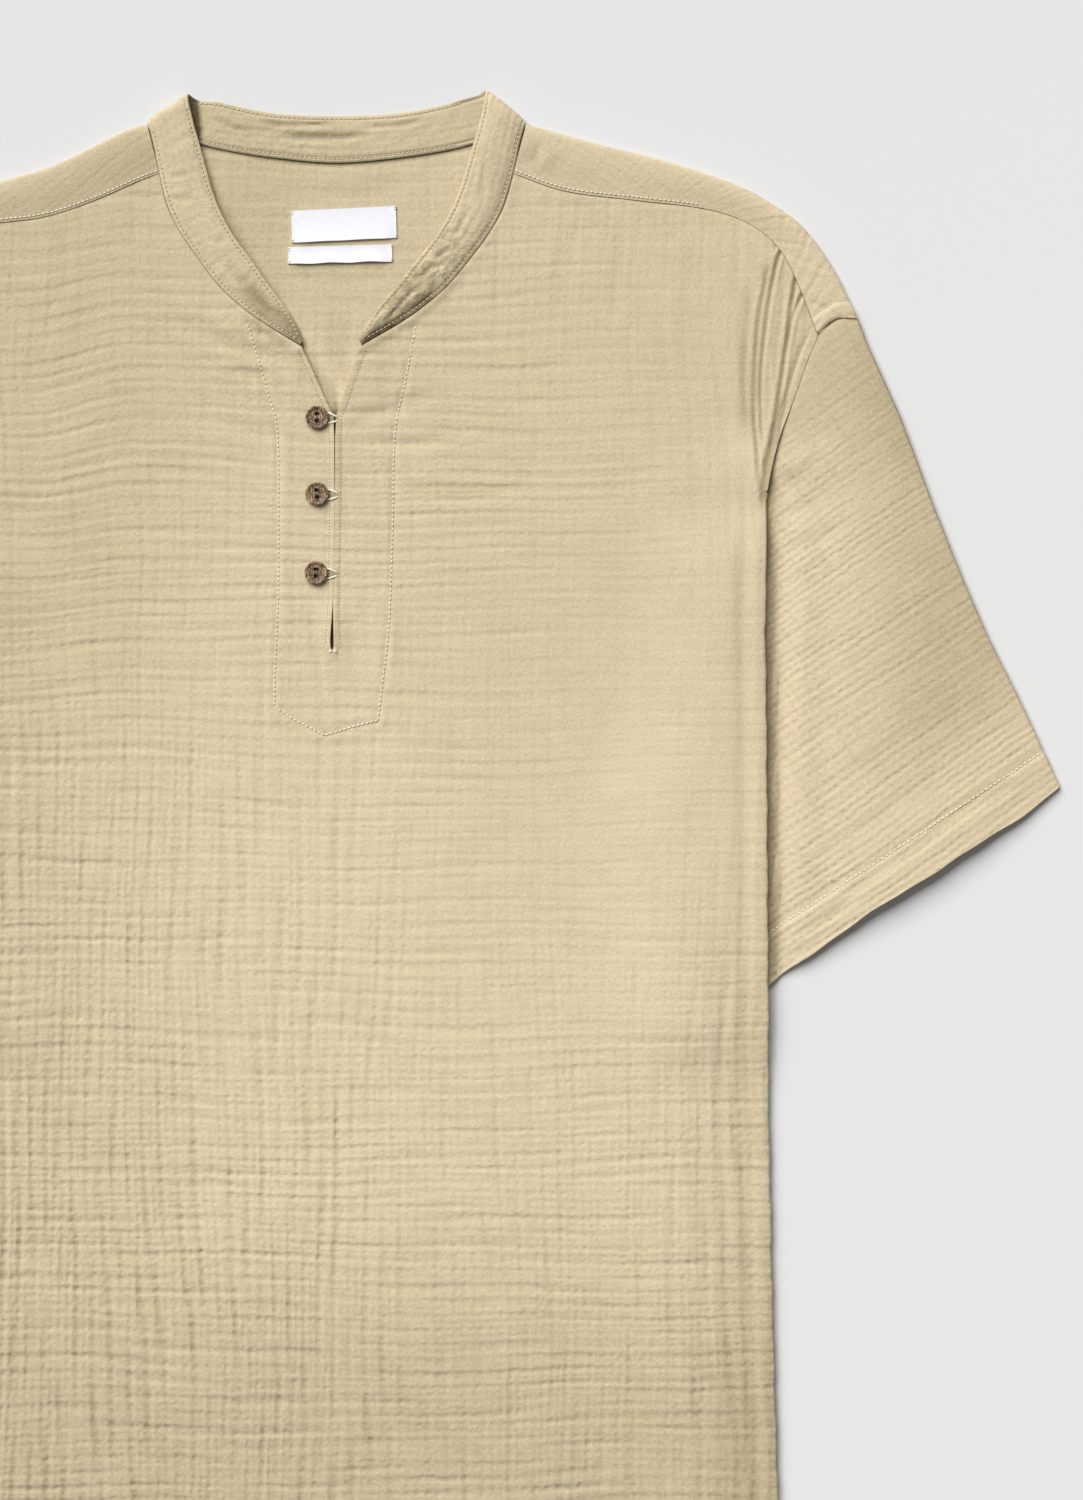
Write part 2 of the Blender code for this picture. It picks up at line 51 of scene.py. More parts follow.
MM = 0.001
CLOTH = 1
GAP = 0.4  # between layers
SEAM = 0.15  # from one piece to the next across a seam
LAYER = CLOTH + GAP
FLOOR_LAYER = CLOTH / 2
SECOND_LAYER = FLOOR_LAYER + LAYER
HEM_Y = -390.2
HEM_DEPTH = 15
UNDERARM_Y = 9.7
BACK_CELL = 4.2
SHOULDER_ROLL = 1.6  # radius of the shoulder fold
SHOULDER_DROP = 10  # how much lower the left shoulder lies
STRIP_PUFF = 0.9
STRIP_EDGE = SECOND_LAYER + 0.35  # the strip is sewn over the front's edge, so it stands a little prouder
STRIP_BOW = np.array([-0.5, 3.6])  # how the end of the strip, at the sleeve, bows back
HEM_RIDGE = 0.35

Side = namedtuple("Side", "y fold_x front_tuck back_tuck")
SIDE = [
    Side(173.4, 232, 3, 0),
    Side(118, 232.5, 10, 3),
    Side(90, 232.8, 14.5, 9),
    Side(60, 233, 20, 17),
    Side(30, 233.2, 28, 27),
    Side(UNDERARM_Y, 233.4, 36, 36),
    Side(-155, 234.4, 36, 36),
    Side(-262, 236.4, 36, 36),
    Side(HEM_Y, 240, 36, 36),
]
FRONT_PLEAT_Y = SIDE[0].y
BACK_PLEAT_Y = SIDE[1].y

Shoulder = namedtuple("Shoulder", "fold_x fold_y seam_x seam_y")
SHOULDER = [
    Shoulder(102.3, 372.2, 95.6, 345.8),
    Shoulder(134, 363.2, 124, 336.2),
    Shoulder(176.6, 352.4, 163, 331.2),
    Shoulder(212, 341, 200, 326.6),
    Shoulder(234, 330.2, 224, 318.4),
    Shoulder(252, 317, 240.5, 304.6),
    Shoulder(268.5, 295.5, 251.5, 284.6),
    Shoulder(283.6, 268, 262.6, 258.7),
]
SHOULDER_FOLD = [(r.fold_x, r.fold_y) for r in SHOULDER]
SHOULDER_SEAM = [(r.seam_x, r.seam_y) for r in SHOULDER]
NECK_BACK = [(0, 351.5), (34, 354.3), (63, 359), (86, 365.2), (98.4, 370.2)]
BACK_ARMHOLE = [(232, 118), (236, 150), (244, 184), (257, 220), (271, 249), (283.6, 268)]

Lean = namedtuple("Lean", "y shift")  # how the centre line leans, from the placket up to the collar
LEAN = [Lean(60, 0), Lean(95, -0.4), Lean(150, 1.1), Lean(214, 1.1), Lean(254, -1),
        Lean(300, 0.8), Lean(346, 1.9), Lean(390, 2.3)]

# Creases are soft troughs, or ridges where the depth is negative, through points on the laid shirt.
Crease = namedtuple("Crease", "depth width points")
BACK_CREASES = [
    Crease(0.9, 2, [(113.5, 364), (109, 356), (103, 349)]),
    Crease(-0.6, 3, [(120, 361), (114.5, 353), (109, 345.5)]),
    Crease(0.35, 2.2, [(-120, 359), (-113, 352), (-107, 344)]),
    Crease(-0.2, 3, [(-128, 357), (-120, 349), (-113, 342)]),
    Crease(0.35, 3.5, [(-40, 338), (0, 335.5), (45, 340)]),
    Crease(0.4, 3, [(-28, 291), (5, 288), (36, 292)]),
]
# Painted shade, as creases whose depth is how much darker the colour is: under the left band, in the V and
# slit.
BACK_SHADE = [
    Crease(0.5, 6, [(-80, 372), (-72, 346), (-58, 318), (-44, 292), (-26, 268)]),
    Crease(0.2, 8, [(2, 276), (1, 250), (1, 228), (1, 200)]),
    Crease(0.5, 3.4, [(-30, 272), (-14, 246), (-5.5, 231), (0.5, 217), (2.5, 200)]),
    Crease(0.9, 1.5, [(-98.4, 361.5), (-60, 359.5), (-32, 355), (2, 352), (36, 355), (65, 359.8), (98, 370)]),
    Crease(3.4, 3, [(1, 222), (1, 196), (0, 150), (0, 96), (0, 70)]),
]


def ease(t):
    """0 to 1 with no kink at either end."""
    t = np.clip(t, 0, 1)
    return t * t * (3 - 2 * t)


def hump(distance, width):
    """1 at no distance, fading evenly to 0."""
    return np.exp(-((distance / width) ** 2))


def even(steps):
    return np.linspace(0, 1, steps + 1)


def graded(*spans):
    """0 to 1 in steps that change on the way. Each span is its length and its step in mm."""
    stops, start = [0], 0
    for length, step in spans:
        stops += (start + length * even(max(1, round(length / step)))[1:]).tolist()
        start += length
    return np.array(stops) / start


def along(points, fractions):
    """Places on a smooth curve through the points, at these fractions of its length."""
    p = np.array(points, float)
    ends = np.vstack([2 * p[0] - p[1], p, 2 * p[-1] - p[-2]])
    t = np.linspace(0, 1, 24, endpoint=False)[:, None]
    fine = [
        0.5 * (2 * b + (c - a) * t + (2 * a - 5 * b + 4 * c - d) * t**2 + (3 * b - a - 3 * c + d) * t**3)
        for a, b, c, d in zip(ends, ends[1:], ends[2:], ends[3:])
    ]
    line = np.vstack([*fine, p[-1:]])
    travelled = np.concatenate([[0], np.cumsum(np.linalg.norm(np.diff(line, axis=0), axis=1))])
    at = np.asarray(fractions) * travelled[-1]
    return np.stack([np.interp(at, travelled, line[:, k]) for k in range(line.shape[1])], axis=1)


def sideways(line, distance):
    """The line moved over, to the right of the way it runs."""
    p = np.array(line, float)
    run = np.gradient(p, axis=0)
    run /= np.linalg.norm(run, axis=1)[:, None]
    return p + distance * np.column_stack([run[:, 1], -run[:, 0]])


def straight(start, end, fractions):
    return np.array(start, float) + np.outer(fractions, np.subtract(end, start))


def patch(bottom, top, left, right):
    """A Coons patch between four edges: rows run from bottom to top, columns from left to right."""
    u = even(len(bottom) - 1)[None, :, None]
    v = even(len(left) - 1)[:, None, None]
    ruled = (1 - v) * bottom[None] + v * top[None] + (1 - u) * left[:, None] + u * right[:, None]
    low = (1 - u) * bottom[0] + u * bottom[-1]
    high = (1 - u) * top[0] + u * top[-1]
    return ruled - (1 - v) * low - v * high


def stack(patches):
    """Patches that follow each other upwards as one grid. Each begins with the last row of the one below."""
    return np.vstack([patches[0]] + [p[1:] for p in patches[1:]])


def side_at(y, column):
    rows = sorted(SIDE)
    return np.interp(y, [r.y for r in rows], [getattr(r, column) for r in rows])


def laid(points):
    """Points of the even cut as they were laid: the centre leans, and the left shoulder lies lower."""
    p = np.array(points, float)
    x, y = p[..., 0].copy(), p[..., 1].copy()
    left = ease((-x - 105) / 60) * ease(y / 200)
    p[..., 0] = x + np.interp(y, *zip(*LEAN))
    p[..., 1] = y - SHOULDER_DROP * left
    return p


def mirrored(grid):
    """The same grid on the other side, with its faces still turned the same way. The cut mirrors with it."""
    other = grid[:, ::-1].copy()
    other[..., 0] *= -1
    other[..., 3] *= -1
    return other


def flat_grid(grid, height):
    """Positions and cut of a flat grid: x, y, z, u, v."""
    return np.dstack([grid, np.broadcast_to(height, grid.shape[:2]), grid])


def folded_edge(edge, outward, low, tuck, steps):
    """The fold at an edge and the cloth that returns from it, in columns after the edge. edge holds x, y, z,
    u and v for each section. low is the height of what returns, and tuck how far it goes."""
    outward = np.broadcast_to(outward, (len(edge), 2))
    radius = (edge[:, 2] - low)[:, None] / 2
    way = outward * np.abs(radius)
    columns = [edge]
    for angle in np.arange(1, 7) * pi / 6:
        columns.append(edge + np.hstack([way * sin(angle), -radius * (1 - cos(angle)), way * angle]))
    inner = columns[-1]
    tuck = np.broadcast_to(tuck, (len(edge),))[:, None]
    for step in even(steps)[1:]:
        columns.append(inner + step * tuck * np.hstack([-outward, np.zeros((len(edge), 1)), outward]))
    return np.stack(columns, axis=1)


def reach(points, xy, margin):
    """Which places lie near a smooth line through the points, how far each of those is from it, and how far
    along it that is, 0 to 1. Near is within a margin of the points' box, or two, below and above it."""
    p = np.array(points, float)
    below, above = np.broadcast_to(margin, 2)
    near = np.all((xy > p.min(0) - below) & (xy < p.max(0) + above), axis=1)
    places = xy[near]
    line = along(points, even(max(12, 4 * len(points))))
    best = np.full(len(places), 1e9)
    share = np.zeros(len(places))
    for number, (a, b) in enumerate(zip(line, line[1:])):
        run = b - a
        t = np.clip((places - a) @ run / (run @ run), 0, 1)
        away = np.hypot(*(places - a - t[:, None] * run).T)
        closer = away < best
        best[closer] = away[closer]
        share[closer] = ((number + t) / (len(line) - 1))[closer]
    return near, best, share


def creased(creases, xy):
    """How much the given creases raise the cloth, in mm. Each has a low swell along both its sides."""
    rise = np.zeros(len(xy))
    for depth, width, points in creases:
        near, away, share = reach(points, xy, 5 * width)
        fading = min(0.3, 14 / np.linalg.norm(np.diff(points, axis=0), axis=1).sum())
        fade = ease(share / fading) * ease((1 - share) / fading)
        rise[near] -= depth * fade * (hump(away, width) - 0.45 * hump(away - 2.1 * width, width))
    return rise


def shaded(creases, xy):
    """How much painted shade these creases put on the cloth's colour."""
    return np.clip(-creased(creases, xy), 0, 3)


class Tone:
    """A number or colour that a material works out over the surface. Arithmetic on it adds Math nodes."""

    def __init__(self, tree, socket):
        self.tree = tree
        self.socket = socket

    def add(self, kind, settings=None, inputs=None, output=0):
        """A node of this kind, its settings first, then what goes into its sockets."""
        node = self.tree.nodes.new(kind)
        for key, value in (settings or {}).items():
            setattr(node, key, value)
        for key, value in (inputs or {}).items():
            if isinstance(value, Tone):
                self.tree.links.new(value.socket, node.inputs[key])
            else:
                node.inputs[key].default_value = value
        return Tone(self.tree, node.outputs[output])

    def maths(self, operation, *values):
        return self.add("ShaderNodeMath", {"operation": operation}, dict(enumerate(values)))

    def mixed(self, first, second):
        """From the first colour to the second as this goes from 0 to 1."""
        inputs = {0: self, 6: first, 7: second}
        return self.add("ShaderNodeMix", {"data_type": "RGBA"}, inputs, 2)

    def clamped(self):
        return self.add("ShaderNodeClamp", None, {0: self})

    def parts(self):
        """The first two parts of a vector or colour."""
        return [self.add("ShaderNodeSeparateXYZ", None, {0: self}, k) for k in (0, 1)]

    def noise(self, scale, detail, roughness=0.5, output=0):
        """Noise at these places: output 0 is a number, and 1 a colour."""
        inputs = {"Vector": self, "Scale": scale, "Detail": detail, "Roughness": roughness}
        return self.add("ShaderNodeTexNoise", None, inputs, output)

    def __add__(self, other):
        return self.maths("ADD", self, other)

    def __sub__(self, other):
        return self.maths("SUBTRACT", self, other)

    def __rsub__(self, other):
        return self.maths("SUBTRACT", other, self)

    def __mul__(self, other):
        return self.maths("MULTIPLY", self, other)

    def __truediv__(self, other):
        return self.maths("DIVIDE", self, other)

    def __rtruediv__(self, other):
        return self.maths("DIVIDE", other, self)

    __radd__ = __add__
    __rmul__ = __mul__


def new_finish(name):
    """A new material, and a Tone that its first nodes are added from."""
    made = bpy.data.materials.new(name)
    made.use_nodes = True
    return made, Tone(made.node_tree, None)


def finished(made, colour, constants, height=None, strength=1, distance=1):
    """The material with its colour, its bump if it has a height, and what is the same all over it."""
    shader = made.node_tree.nodes["Principled BSDF"]
    made.node_tree.links.new(colour.socket, shader.inputs["Base Color"])
    if height is not None:
        inputs = {"Strength": strength, "Distance": distance * MM, "Height": height}
        bump = height.add("ShaderNodeBump", None, inputs)
        made.node_tree.links.new(bump.socket, shader.inputs["Normal"])
    for socket, value in constants.items():
        shader.inputs[socket].default_value = value
    return made


def sine(x):
    return x.maths("SINE", x) if isinstance(x, Tone) else np.sin(x)


def whole(x):
    return x.maths("FLOOR", x) if isinstance(x, Tone) else np.floor(x)


def at_least(x, low):
    return x.maths("MAXIMUM", x, low) if isinstance(x, Tone) else np.maximum(x, low)


Crinkle = namedtuple("Crinkle", "pitch length seed")
ROWS = Crinkle(7.4, 38, 1)
COLUMNS = Crinkle(8.4, 34, 4)
SMALL_ROWS = Crinkle(4.1, 20, 7)
SMALL_COLUMNS = Crinkle(4.5, 20, 9)


def troughs(run, across, crinkle, spread, beads=0, steady=0.46):
    """Depth, 0 to 1, of crinkles that run one way and lie a pitch apart across it, in a mesh or a material.
    Places are in mm. Each crinkle fades in and out by itself, about a steady strength. spread is how much of
    the pitch it is wide, and beads how much it is broken up along its run."""
    pitch, length, seed = crinkle
    wander = 0.25 * sine(run / 61 + seed) + 0.13 * sine(run / 21 + across / 31 + 2.1 * seed)
    phase = across / pitch + wander + 0.35 * sine(across / 33 + run / 190 + seed)
    phase = phase + 0.45 * sine(run / 97 - across / 25 + 1.3 * seed)
    line = whole(phase)
    off = phase - line - 0.5
    start = 40 * sine(12.99 * line + seed)
    strength = steady + 0.3 * sine(run / length + start) + 0.22 * sine(run / (0.31 * length) + 1.7 * start)
    strength = strength + 0.22 * sine(0.37 * start + 5.1 * line)
    if beads:
        strength = strength * (1 + beads * sine(run / 0.93 + 3 * start))
    dip = at_least(1 - off * off / (spread * spread), 0)
    return dip * dip * at_least(strength, 0)


PILLOW_DEPTH = 0.26


def pillows(u, v, level, upright):
    """Depth in mm of the crinkles that the mesh carries."""
    rows = troughs(u, v, ROWS, 0.5) * level
    columns = troughs(v, u, COLUMNS, 0.5) * upright
    return PILLOW_DEPTH * (rows + columns)


WEAVE_PITCH = 0.62
# The cloth's own colour; the shade colour below is partly denser thread and partly painted shade.
GAUZE_LIGHT = (0.814, 0.679, 0.455, 1)
GAUZE_SHADE = (0.457, 0.381, 0.225, 1)
# Near-black brown of painted deep shadow, for wedges and gaps where painted shade is heaviest.
GAUZE_DEEP_SHADE = (0.11, 0.078, 0.036, 1)
# The last field is painted shade: darker colour in creases, seams and folds, and painted light falloff.
STRENGTHS = ("level", "upright", "fine", "crumple", "painted_shade")


def gauze(name, light, shade, painted_deepest_shade):
    """Crinkled double gauze. The troughs of the mesh go on here, narrower, with finer ones and the weave."""
    made, start = new_finish(name)
    cut = start.add("ShaderNodeUVMap", {"uv_map": "cut"})
    shift = cut.noise(130, 2, output=1).parts()
    metres = cut.parts()
    u = metres[0] * 1000 + 2.4 * (shift[0] - 0.5)
    v = metres[1] * 1000 + 2.4 * (shift[1] - 0.5)
    level, upright, fine, crumple, painted_shade = [
        start.add("ShaderNodeAttribute", {"attribute_name": name}, None, 2) for name in STRENGTHS
    ]
    rows = troughs(u, v, ROWS, 0.4, 0.2) * level * (1 - 0.6 * fine)
    columns = troughs(v, u, COLUMNS, 0.36, 0.2) * upright * (1 - 0.35 * fine)
    small_rows = troughs(u, v, SMALL_ROWS, 0.46, 0.4, 0.72) * (0.15 + 0.4 * level + 0.65 * fine)
    small_columns = troughs(v, u, SMALL_COLUMNS, 0.44, 0.4, 0.66) * (0.1 + 0.7 * upright + 0.28 * fine)
    bent = cut.noise(105, 2, 0.6)
    folds = at_least(1 - 11 * (bent - 0.5).maths("ABSOLUTE", bent - 0.5), 0) * crumple
    noise = cut.noise(700, 4, 0.7)
    slub = cut.noise(38, 3, 0.6)
    pitch = 2 * pi / WEAVE_PITCH
    weave = sine(u * pitch + 1.2 * noise) * sine(v * pitch + 1.2 * noise)
    crossing = (rows + 0.5 * small_rows) * (columns + 0.5 * small_columns)
    deep = 0.27 * rows + 0.24 * columns + 0.22 * small_rows + 0.2 * small_columns + 0.1 * crossing
    deep = deep + 0.3 * folds
    # Colour darkens with painted shade in troughs and folds, random tone, and the mesh's painted shade field.
    dark = 0.3 * deep + 0.1 * columns + 0.35 * folds + 1.15 * noise - 0.4 + 0.3 * (slub - 0.5)
    dark = dark - 0.06 * weave + painted_shade
    # Past 1 the colour goes on from the shade colour into painted deep shadow.
    colour = (0.7 * (dark - 1)).clamped().mixed(dark.clamped().mixed(light, shade), painted_deepest_shade)
    constants = {"Roughness": 0.92, "Specular IOR Level": 0.2, "Sheen Weight": 0.25, "Sheen Roughness": 0.5}
    return finished(made, colour, constants, 0.05 * weave + 0.3 * noise - deep)


cloth_finish = gauze("double_gauze", GAUZE_LIGHT, GAUZE_SHADE, GAUZE_DEEP_SHADE)


def added(name, data):
    """A new object in the scene."""
    made = bpy.data.objects.new(name, data)
    bpy.context.scene.collection.objects.link(made)
    return made


def made_of(name, points, faces, *finishes):
    """A smooth piece from points in mm and faces."""
    mesh = bpy.data.meshes.new(name)
    mesh.from_pydata((np.asarray(points) * MM).tolist(), [], faces)
    for finish in finishes:
        mesh.materials.append(finish)
    mesh.shade_smooth()
    return added(name, mesh)


def stands_for(piece, node):
    """The piece takes the place of this node of the part, and keeps its material."""
    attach(piece, "root")
    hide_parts(node)


def shell(name, grids, wall, rise, strengths, coarse=1, finish=cloth_finish):
    """A closed shell of cloth from grids of x, y, z, u, v in mm that share their edges.

    rise says how much each place stands out from the plain wall on the right side and on the wrong side, from
    the place, its cut, the way it faces and its pillows' depth. strengths gives the five fields that the
    material reads. The wrong side takes only every coarse-th row and column, and a grid's whole border.
    """
    points = np.vstack([g.reshape(-1, 5) for g in grids])
    _, first, number = np.unique(np.round(points[:, :3], 3), axis=0, return_index=True, return_inverse=True)
    number = number.reshape(-1)
    middle, cut = laid(points[first, :3]), points[first, 3:]
    ids, begin = [], 0
    for g in grids:
        count = g.shape[0] * g.shape[1]
        ids.append(number[begin:begin + count].reshape(g.shape[:2]))
        begin += count

    quads = np.vstack([
        np.stack([n[:-1, :-1], n[:-1, 1:], n[1:, 1:], n[1:, :-1]], axis=-1).reshape(-1, 4) for n in ids
    ])
    corner = middle[quads]
    facing = np.cross(corner[:, 2] - corner[:, 0], corner[:, 3] - corner[:, 1])
    normal = np.zeros_like(middle)
    for k in range(4):
        np.add.at(normal, quads[:, k], facing)
    normal /= np.maximum(np.linalg.norm(normal, axis=1), 1e-12)[:, None]

    total = len(middle)
    fields = [np.broadcast_to(field, total) for field in strengths(middle, cut)]
    right, wrong = rise(middle, cut, normal, pillows(cut[:, 0], cut[:, 1], *fields[:2]))
    wrong = np.broadcast_to(wrong, total)
    outer = middle + normal * (wall / 2 + np.maximum(right, -0.7 * wall))[:, None]
    inner = middle - normal * (wall / 2 + wrong)[:, None]

    faces = quads.tolist()
    if coarse == 1:
        faces += (quads[:, ::-1] + total).tolist()
    else:
        for n in ids:
            rows = [*range(0, n.shape[0] - 1, coarse), n.shape[0] - 1]
            columns = [*range(0, n.shape[1] - 1, coarse), n.shape[1] - 1]
            for i, j in zip(rows, rows[1:]):
                for k, m in zip(columns, columns[1:]):
                    south = n[i, k:m + 1] if i == 0 else n[i, [k, m]]
                    north = n[j, k:m + 1] if j == n.shape[0] - 1 else n[j, [k, m]]
                    west = n[i:j + 1, k] if k == 0 else n[[i, j], k]
                    east = n[i:j + 1, m] if m == n.shape[1] - 1 else n[[i, j], m]
                    ring = [*south, *east[1:], *north[::-1][1:], *west[::-1][1:-1]]
                    faces.append([int(p) + total for p in ring[::-1]])
    ends = np.vstack([quads[:, [k, (k + 1) % 4]] for k in range(4)])
    key = np.sort(ends, axis=1) @ np.array([total, 1])
    _, where, times = np.unique(key, return_index=True, return_counts=True)
    for a, b in ends[where[times == 1]].tolist():
        faces.append([b, a, a + total, b + total])

    used = np.zeros(2 * total, bool)
    used[np.concatenate([np.array(f) for f in faces])] = True
    place = np.cumsum(used) - 1
    faces = [place[f].tolist() for f in faces]
    made = made_of(name, np.vstack([outer, inner])[used], faces, finish)
    mesh = made.data
    both = np.tile(cut, (2, 1))[used] * MM
    corners = np.empty(len(mesh.loops), np.int32)
    mesh.loops.foreach_get("vertex_index", corners)
    mesh.uv_layers.new(name="cut").data.foreach_set("uv", both[corners].ravel())
    for label, values in zip(STRENGTHS, fields):
        field = mesh.attributes.new(label, "FLOAT", "POINT")
        field.data.foreach_set("value", np.tile(values, 2)[used].astype(np.float32))
    mesh.set_sharp_from_angle(angle=radians(60))
    return made


def back_grids():
    """Half of the back with its side tuck and the strip over the shoulder, then the other half."""
    shoulder = graded((192, 4.4), (38, 1.5))
    fold_line = along(SHOULDER_FOLD, shoulder)
    seam_line = along(SHOULDER_SEAM, shoulder)
    outward = fold_line - seam_line
    outward /= np.linalg.norm(outward, axis=1)[:, None]
    centre = fold_line - (SHOULDER_ROLL + FLOOR_LAYER) * outward
    neck_steps, neck_share = even(32), 0.4
    neck = sideways(along(NECK_BACK, neck_steps), 2 * SEAM)
    neck[0, 0] = 0
    neck[-1] = centre[0]
    top = np.vstack([neck, centre[1:]])
    shares = np.concatenate([neck_steps * neck_share, neck_share + shoulder[1:] * (1 - neck_share)])
    edge_x = side_at(BACK_PLEAT_Y, "fold_x") - 1 - LAYER / 2
    rows = 78
    armhole = along(BACK_ARMHOLE, even(rows))
    armhole[0], armhole[-1] = (edge_x, BACK_PLEAT_Y), centre[-1]
    middle = straight((0, BACK_PLEAT_Y), neck[0], even(rows))
    upper = patch(straight((0, BACK_PLEAT_Y), armhole[0], shares), top, middle, armhole)
    levels = np.linspace(HEM_Y, BACK_PLEAT_Y, 1 + round((BACK_PLEAT_Y - HEM_Y) / BACK_CELL))
    ends = side_at(levels, "fold_x") - 1 - LAYER / 2
    lower = np.stack([straight((0, y), (x, y), shares) for x, y in zip(ends, levels)])
    main = flat_grid(stack([lower, upper]), FLOOR_LAYER)
    edge = main[: len(levels), -1]
    tuck = folded_edge(edge, (1, 0), SECOND_LAYER, side_at(levels, "back_tuck"), 6)
    shoulder_edge = main[-1, len(neck) - 1:]
    strip = folded_edge(shoulder_edge, outward, FLOOR_LAYER + 2 * SHOULDER_ROLL, 0, 1)[:, :-1]
    inner = strip[:, -1]
    down = seam_line - inner[:, :2]
    far = np.linalg.norm(down, axis=1)[:, None]
    across = []
    for share in even(11)[1:]:
        puff = STRIP_PUFF * sin(pi * share) - (inner[:, 2:3] - STRIP_EDGE) * ease(share / 0.8)
        place = inner + np.hstack([share * down, puff, share * far * outward])
        place[:, :2] += sin(pi * share) * ease((shoulder - 0.84) / 0.16)[:, None] * STRIP_BOW
        across.append(place)
    strip = np.concatenate([strip, np.stack(across, axis=1)], axis=1).transpose(1, 0, 2)
    return [main, tuck, strip, mirrored(main), mirrored(tuck), mirrored(strip)]


def strip_end(shares):
    """The seam between strip and sleeve, from the corner of the front to the shoulder fold."""
    line = straight(SHOULDER_SEAM[-1], SHOULDER_FOLD[-1], shares)
    return line + np.outer(np.sin(pi * shares), STRIP_BOW)


def back_strengths(place, cut):
    neck = hump(place[:, 0], 130) * ease((place[:, 1] - 230) / 60)
    turned = ease((cut[:, 1] - 330) / 30) * ease((np.abs(cut[:, 0]) - 95) / 20)
    level = 0.75 - 0.1 * neck - 0.6 * turned
    upright = 0.55 - 0.25 * neck - 0.45 * turned
    left = ease(-place[:, 0] / 60)
    # Painted shade and painted light falloff: darker over neck and strips, more on the left, and in creases.
    painted_shade = (0.23 + 0.2 * left) * neck + (0.04 + 0.2 * left) * turned
    painted_shade += 0.3 * shaded(BACK_CREASES, place[:, :2]) + shaded(BACK_SHADE, place[:, :2])
    return level, upright, 0.3 * turned, 0.12, painted_shade


def back_rise(place, cut, normal, depth):
    crease = creased(BACK_CREASES, place[:, :2])
    hem = HEM_RIDGE * ease((HEM_Y + HEM_DEPTH - place[:, 1]) / 1.5)
    # The wrong side faces up inside the neck, and the right side does on the shoulder strips.
    up = normal[:, 2] > 0
    puffy = np.zeros(len(place))
    for side in (1, -1):
        near, away, _ = reach(laid(strip_end(even(6)) * (side, 1)), place[:, :2], 14)
        puff = ease(away / 1.2) * (1 - ease((away - 6.6) / 2.2)) - 0.5 * hump(away - 8.4, 1)
        puffy[near] = puff * ease((-normal[near, 2] - 0.5) / 0.4)
    seam = laid([(-x, y) for x, y in NECK_BACK[:0:-1]] + NECK_BACK)
    near, away, _ = reach(seam, place[:, :2], (9, 4))
    crease[near] -= 0.4 * hump(away, 1.5)
    inside = np.where(up, 0.2 - depth + crease + hem, 0)
    outside = np.where(up, -0.6 * depth, 0.15 - depth + crease + puffy)
    return inside, outside


back = shell("back_cloth", back_grids(), CLOTH, back_rise, back_strengths)
stands_for(back, "back")

# --------------------------------------------------------------------------------------------- the sleeves
# Short, wide sleeves, each one panel with its seam under the arm, sewn to a dropped armhole. They lie folded
# flat along the outer edge, tucked in between front and back, and the upper layer lifts off at the hem.

SLEEVE_ROUND = 400  # twice the width from the start of the hem to the outer fold
SLEEVE_HEM_DEPTH = 24
CUFF_LOFT = 5.2
HEAD_LOFT = 1.2
FOLD_SQUASH = 0.35  # the outer fold was pressed, so it is narrower than it is high
PILE_SPARE = 0.4
FRONT_ARMHOLE = [(233, 173.4), (236.4, 190), (241.8, 208.7), (249.5, 227.4), (256, 244), (262.6, 258.7)]
SLEEVE_FOLD = [(284.3, 266.4), (305.6, 213.3), (327.2, 156.1), (349, 106.4), (370.6, 61.8), (392.4, 15)]
SLEEVE_HEM = [(226.3, -98.8), (252.2, -79.4), (295.4, -49.4), (338.6, -22.2), (372, -0.6), (392.4, 15)]
SLEEVE_SEAM = [(196.5, UNDERARM_Y), (209, -44), (226.3, -98.8)]
HEM_RUN = np.array([cos(radians(33.5)), sin(radians(33.5))])  # the way the hem lies, which the weft follows
HEM_START = np.array([226.3, -98.8])
OUT = np.array([0.92, 0.39])  # away from the outer fold
IN = np.array([-0.95, -0.3])  # away from the underarm seam

SLEEVE_CREASES = [
    Crease(-0.5, 6, [(251, 150), (254, 110), (252, 60), (250, 0), (252, -50)]),
    Crease(0.35, 3, [(240, 176), (252, 183), (266, 194)]),
    Crease(0.35, 3.2, [(238, 158), (252, 164), (272, 176)]),
    Crease(0.4, 3.5, [(239, 138), (256, 146), (280, 158)]),
    Crease(0.5, 3.2, [(272, -46), (300, -26), (330, -7)]),
    Crease(0.6, 2.6, [(244, -70), (262, -58), (284, -44)]),
    Crease(0.5, 2.6, [(243, -80), (256, -70), (272, -60)]),
    Crease(0.7, 3, [(318, -14), (344, 4), (372, 20)]),
    Crease(0.2, 4, [(252, -30), (290, -4), (330, 22)]),
    Crease(0.15, 4, [(262, 10), (300, 36), (345, 60)]),
]

# Painted shadow of the body's side edge on the sleeve, and painted shade by the armhole.
SIDE_SHADOW = [(234, 190), (234.5, 150), (234, 100), (234.5, 40), (235.5, -20), (236.5, -96)]
SLEEVE_SHADE = [
    Crease(0.5, 8.5, SIDE_SHADOW),
    Crease(0.25, 3, SIDE_SHADOW),
    Crease(0.5, 2.6, [(250, 240), (243, 214), (237, 194), (234, 172)]),
]


def sleeve_pile(y):
    """1 where the sleeve lies between front and back, 0 where only the side tucks do."""
    return ease((172 - y) / 38) * ease((y + 150) / 40)


def edge_height(y):
    """Middle of the front at the side fold and along the armhole seam."""
    tucks = 2 * LAYER * ease((215 - y) / 41)
    return SECOND_LAYER + tucks + (2 * LAYER + 2 * PILE_SPARE) * sleeve_pile(y)


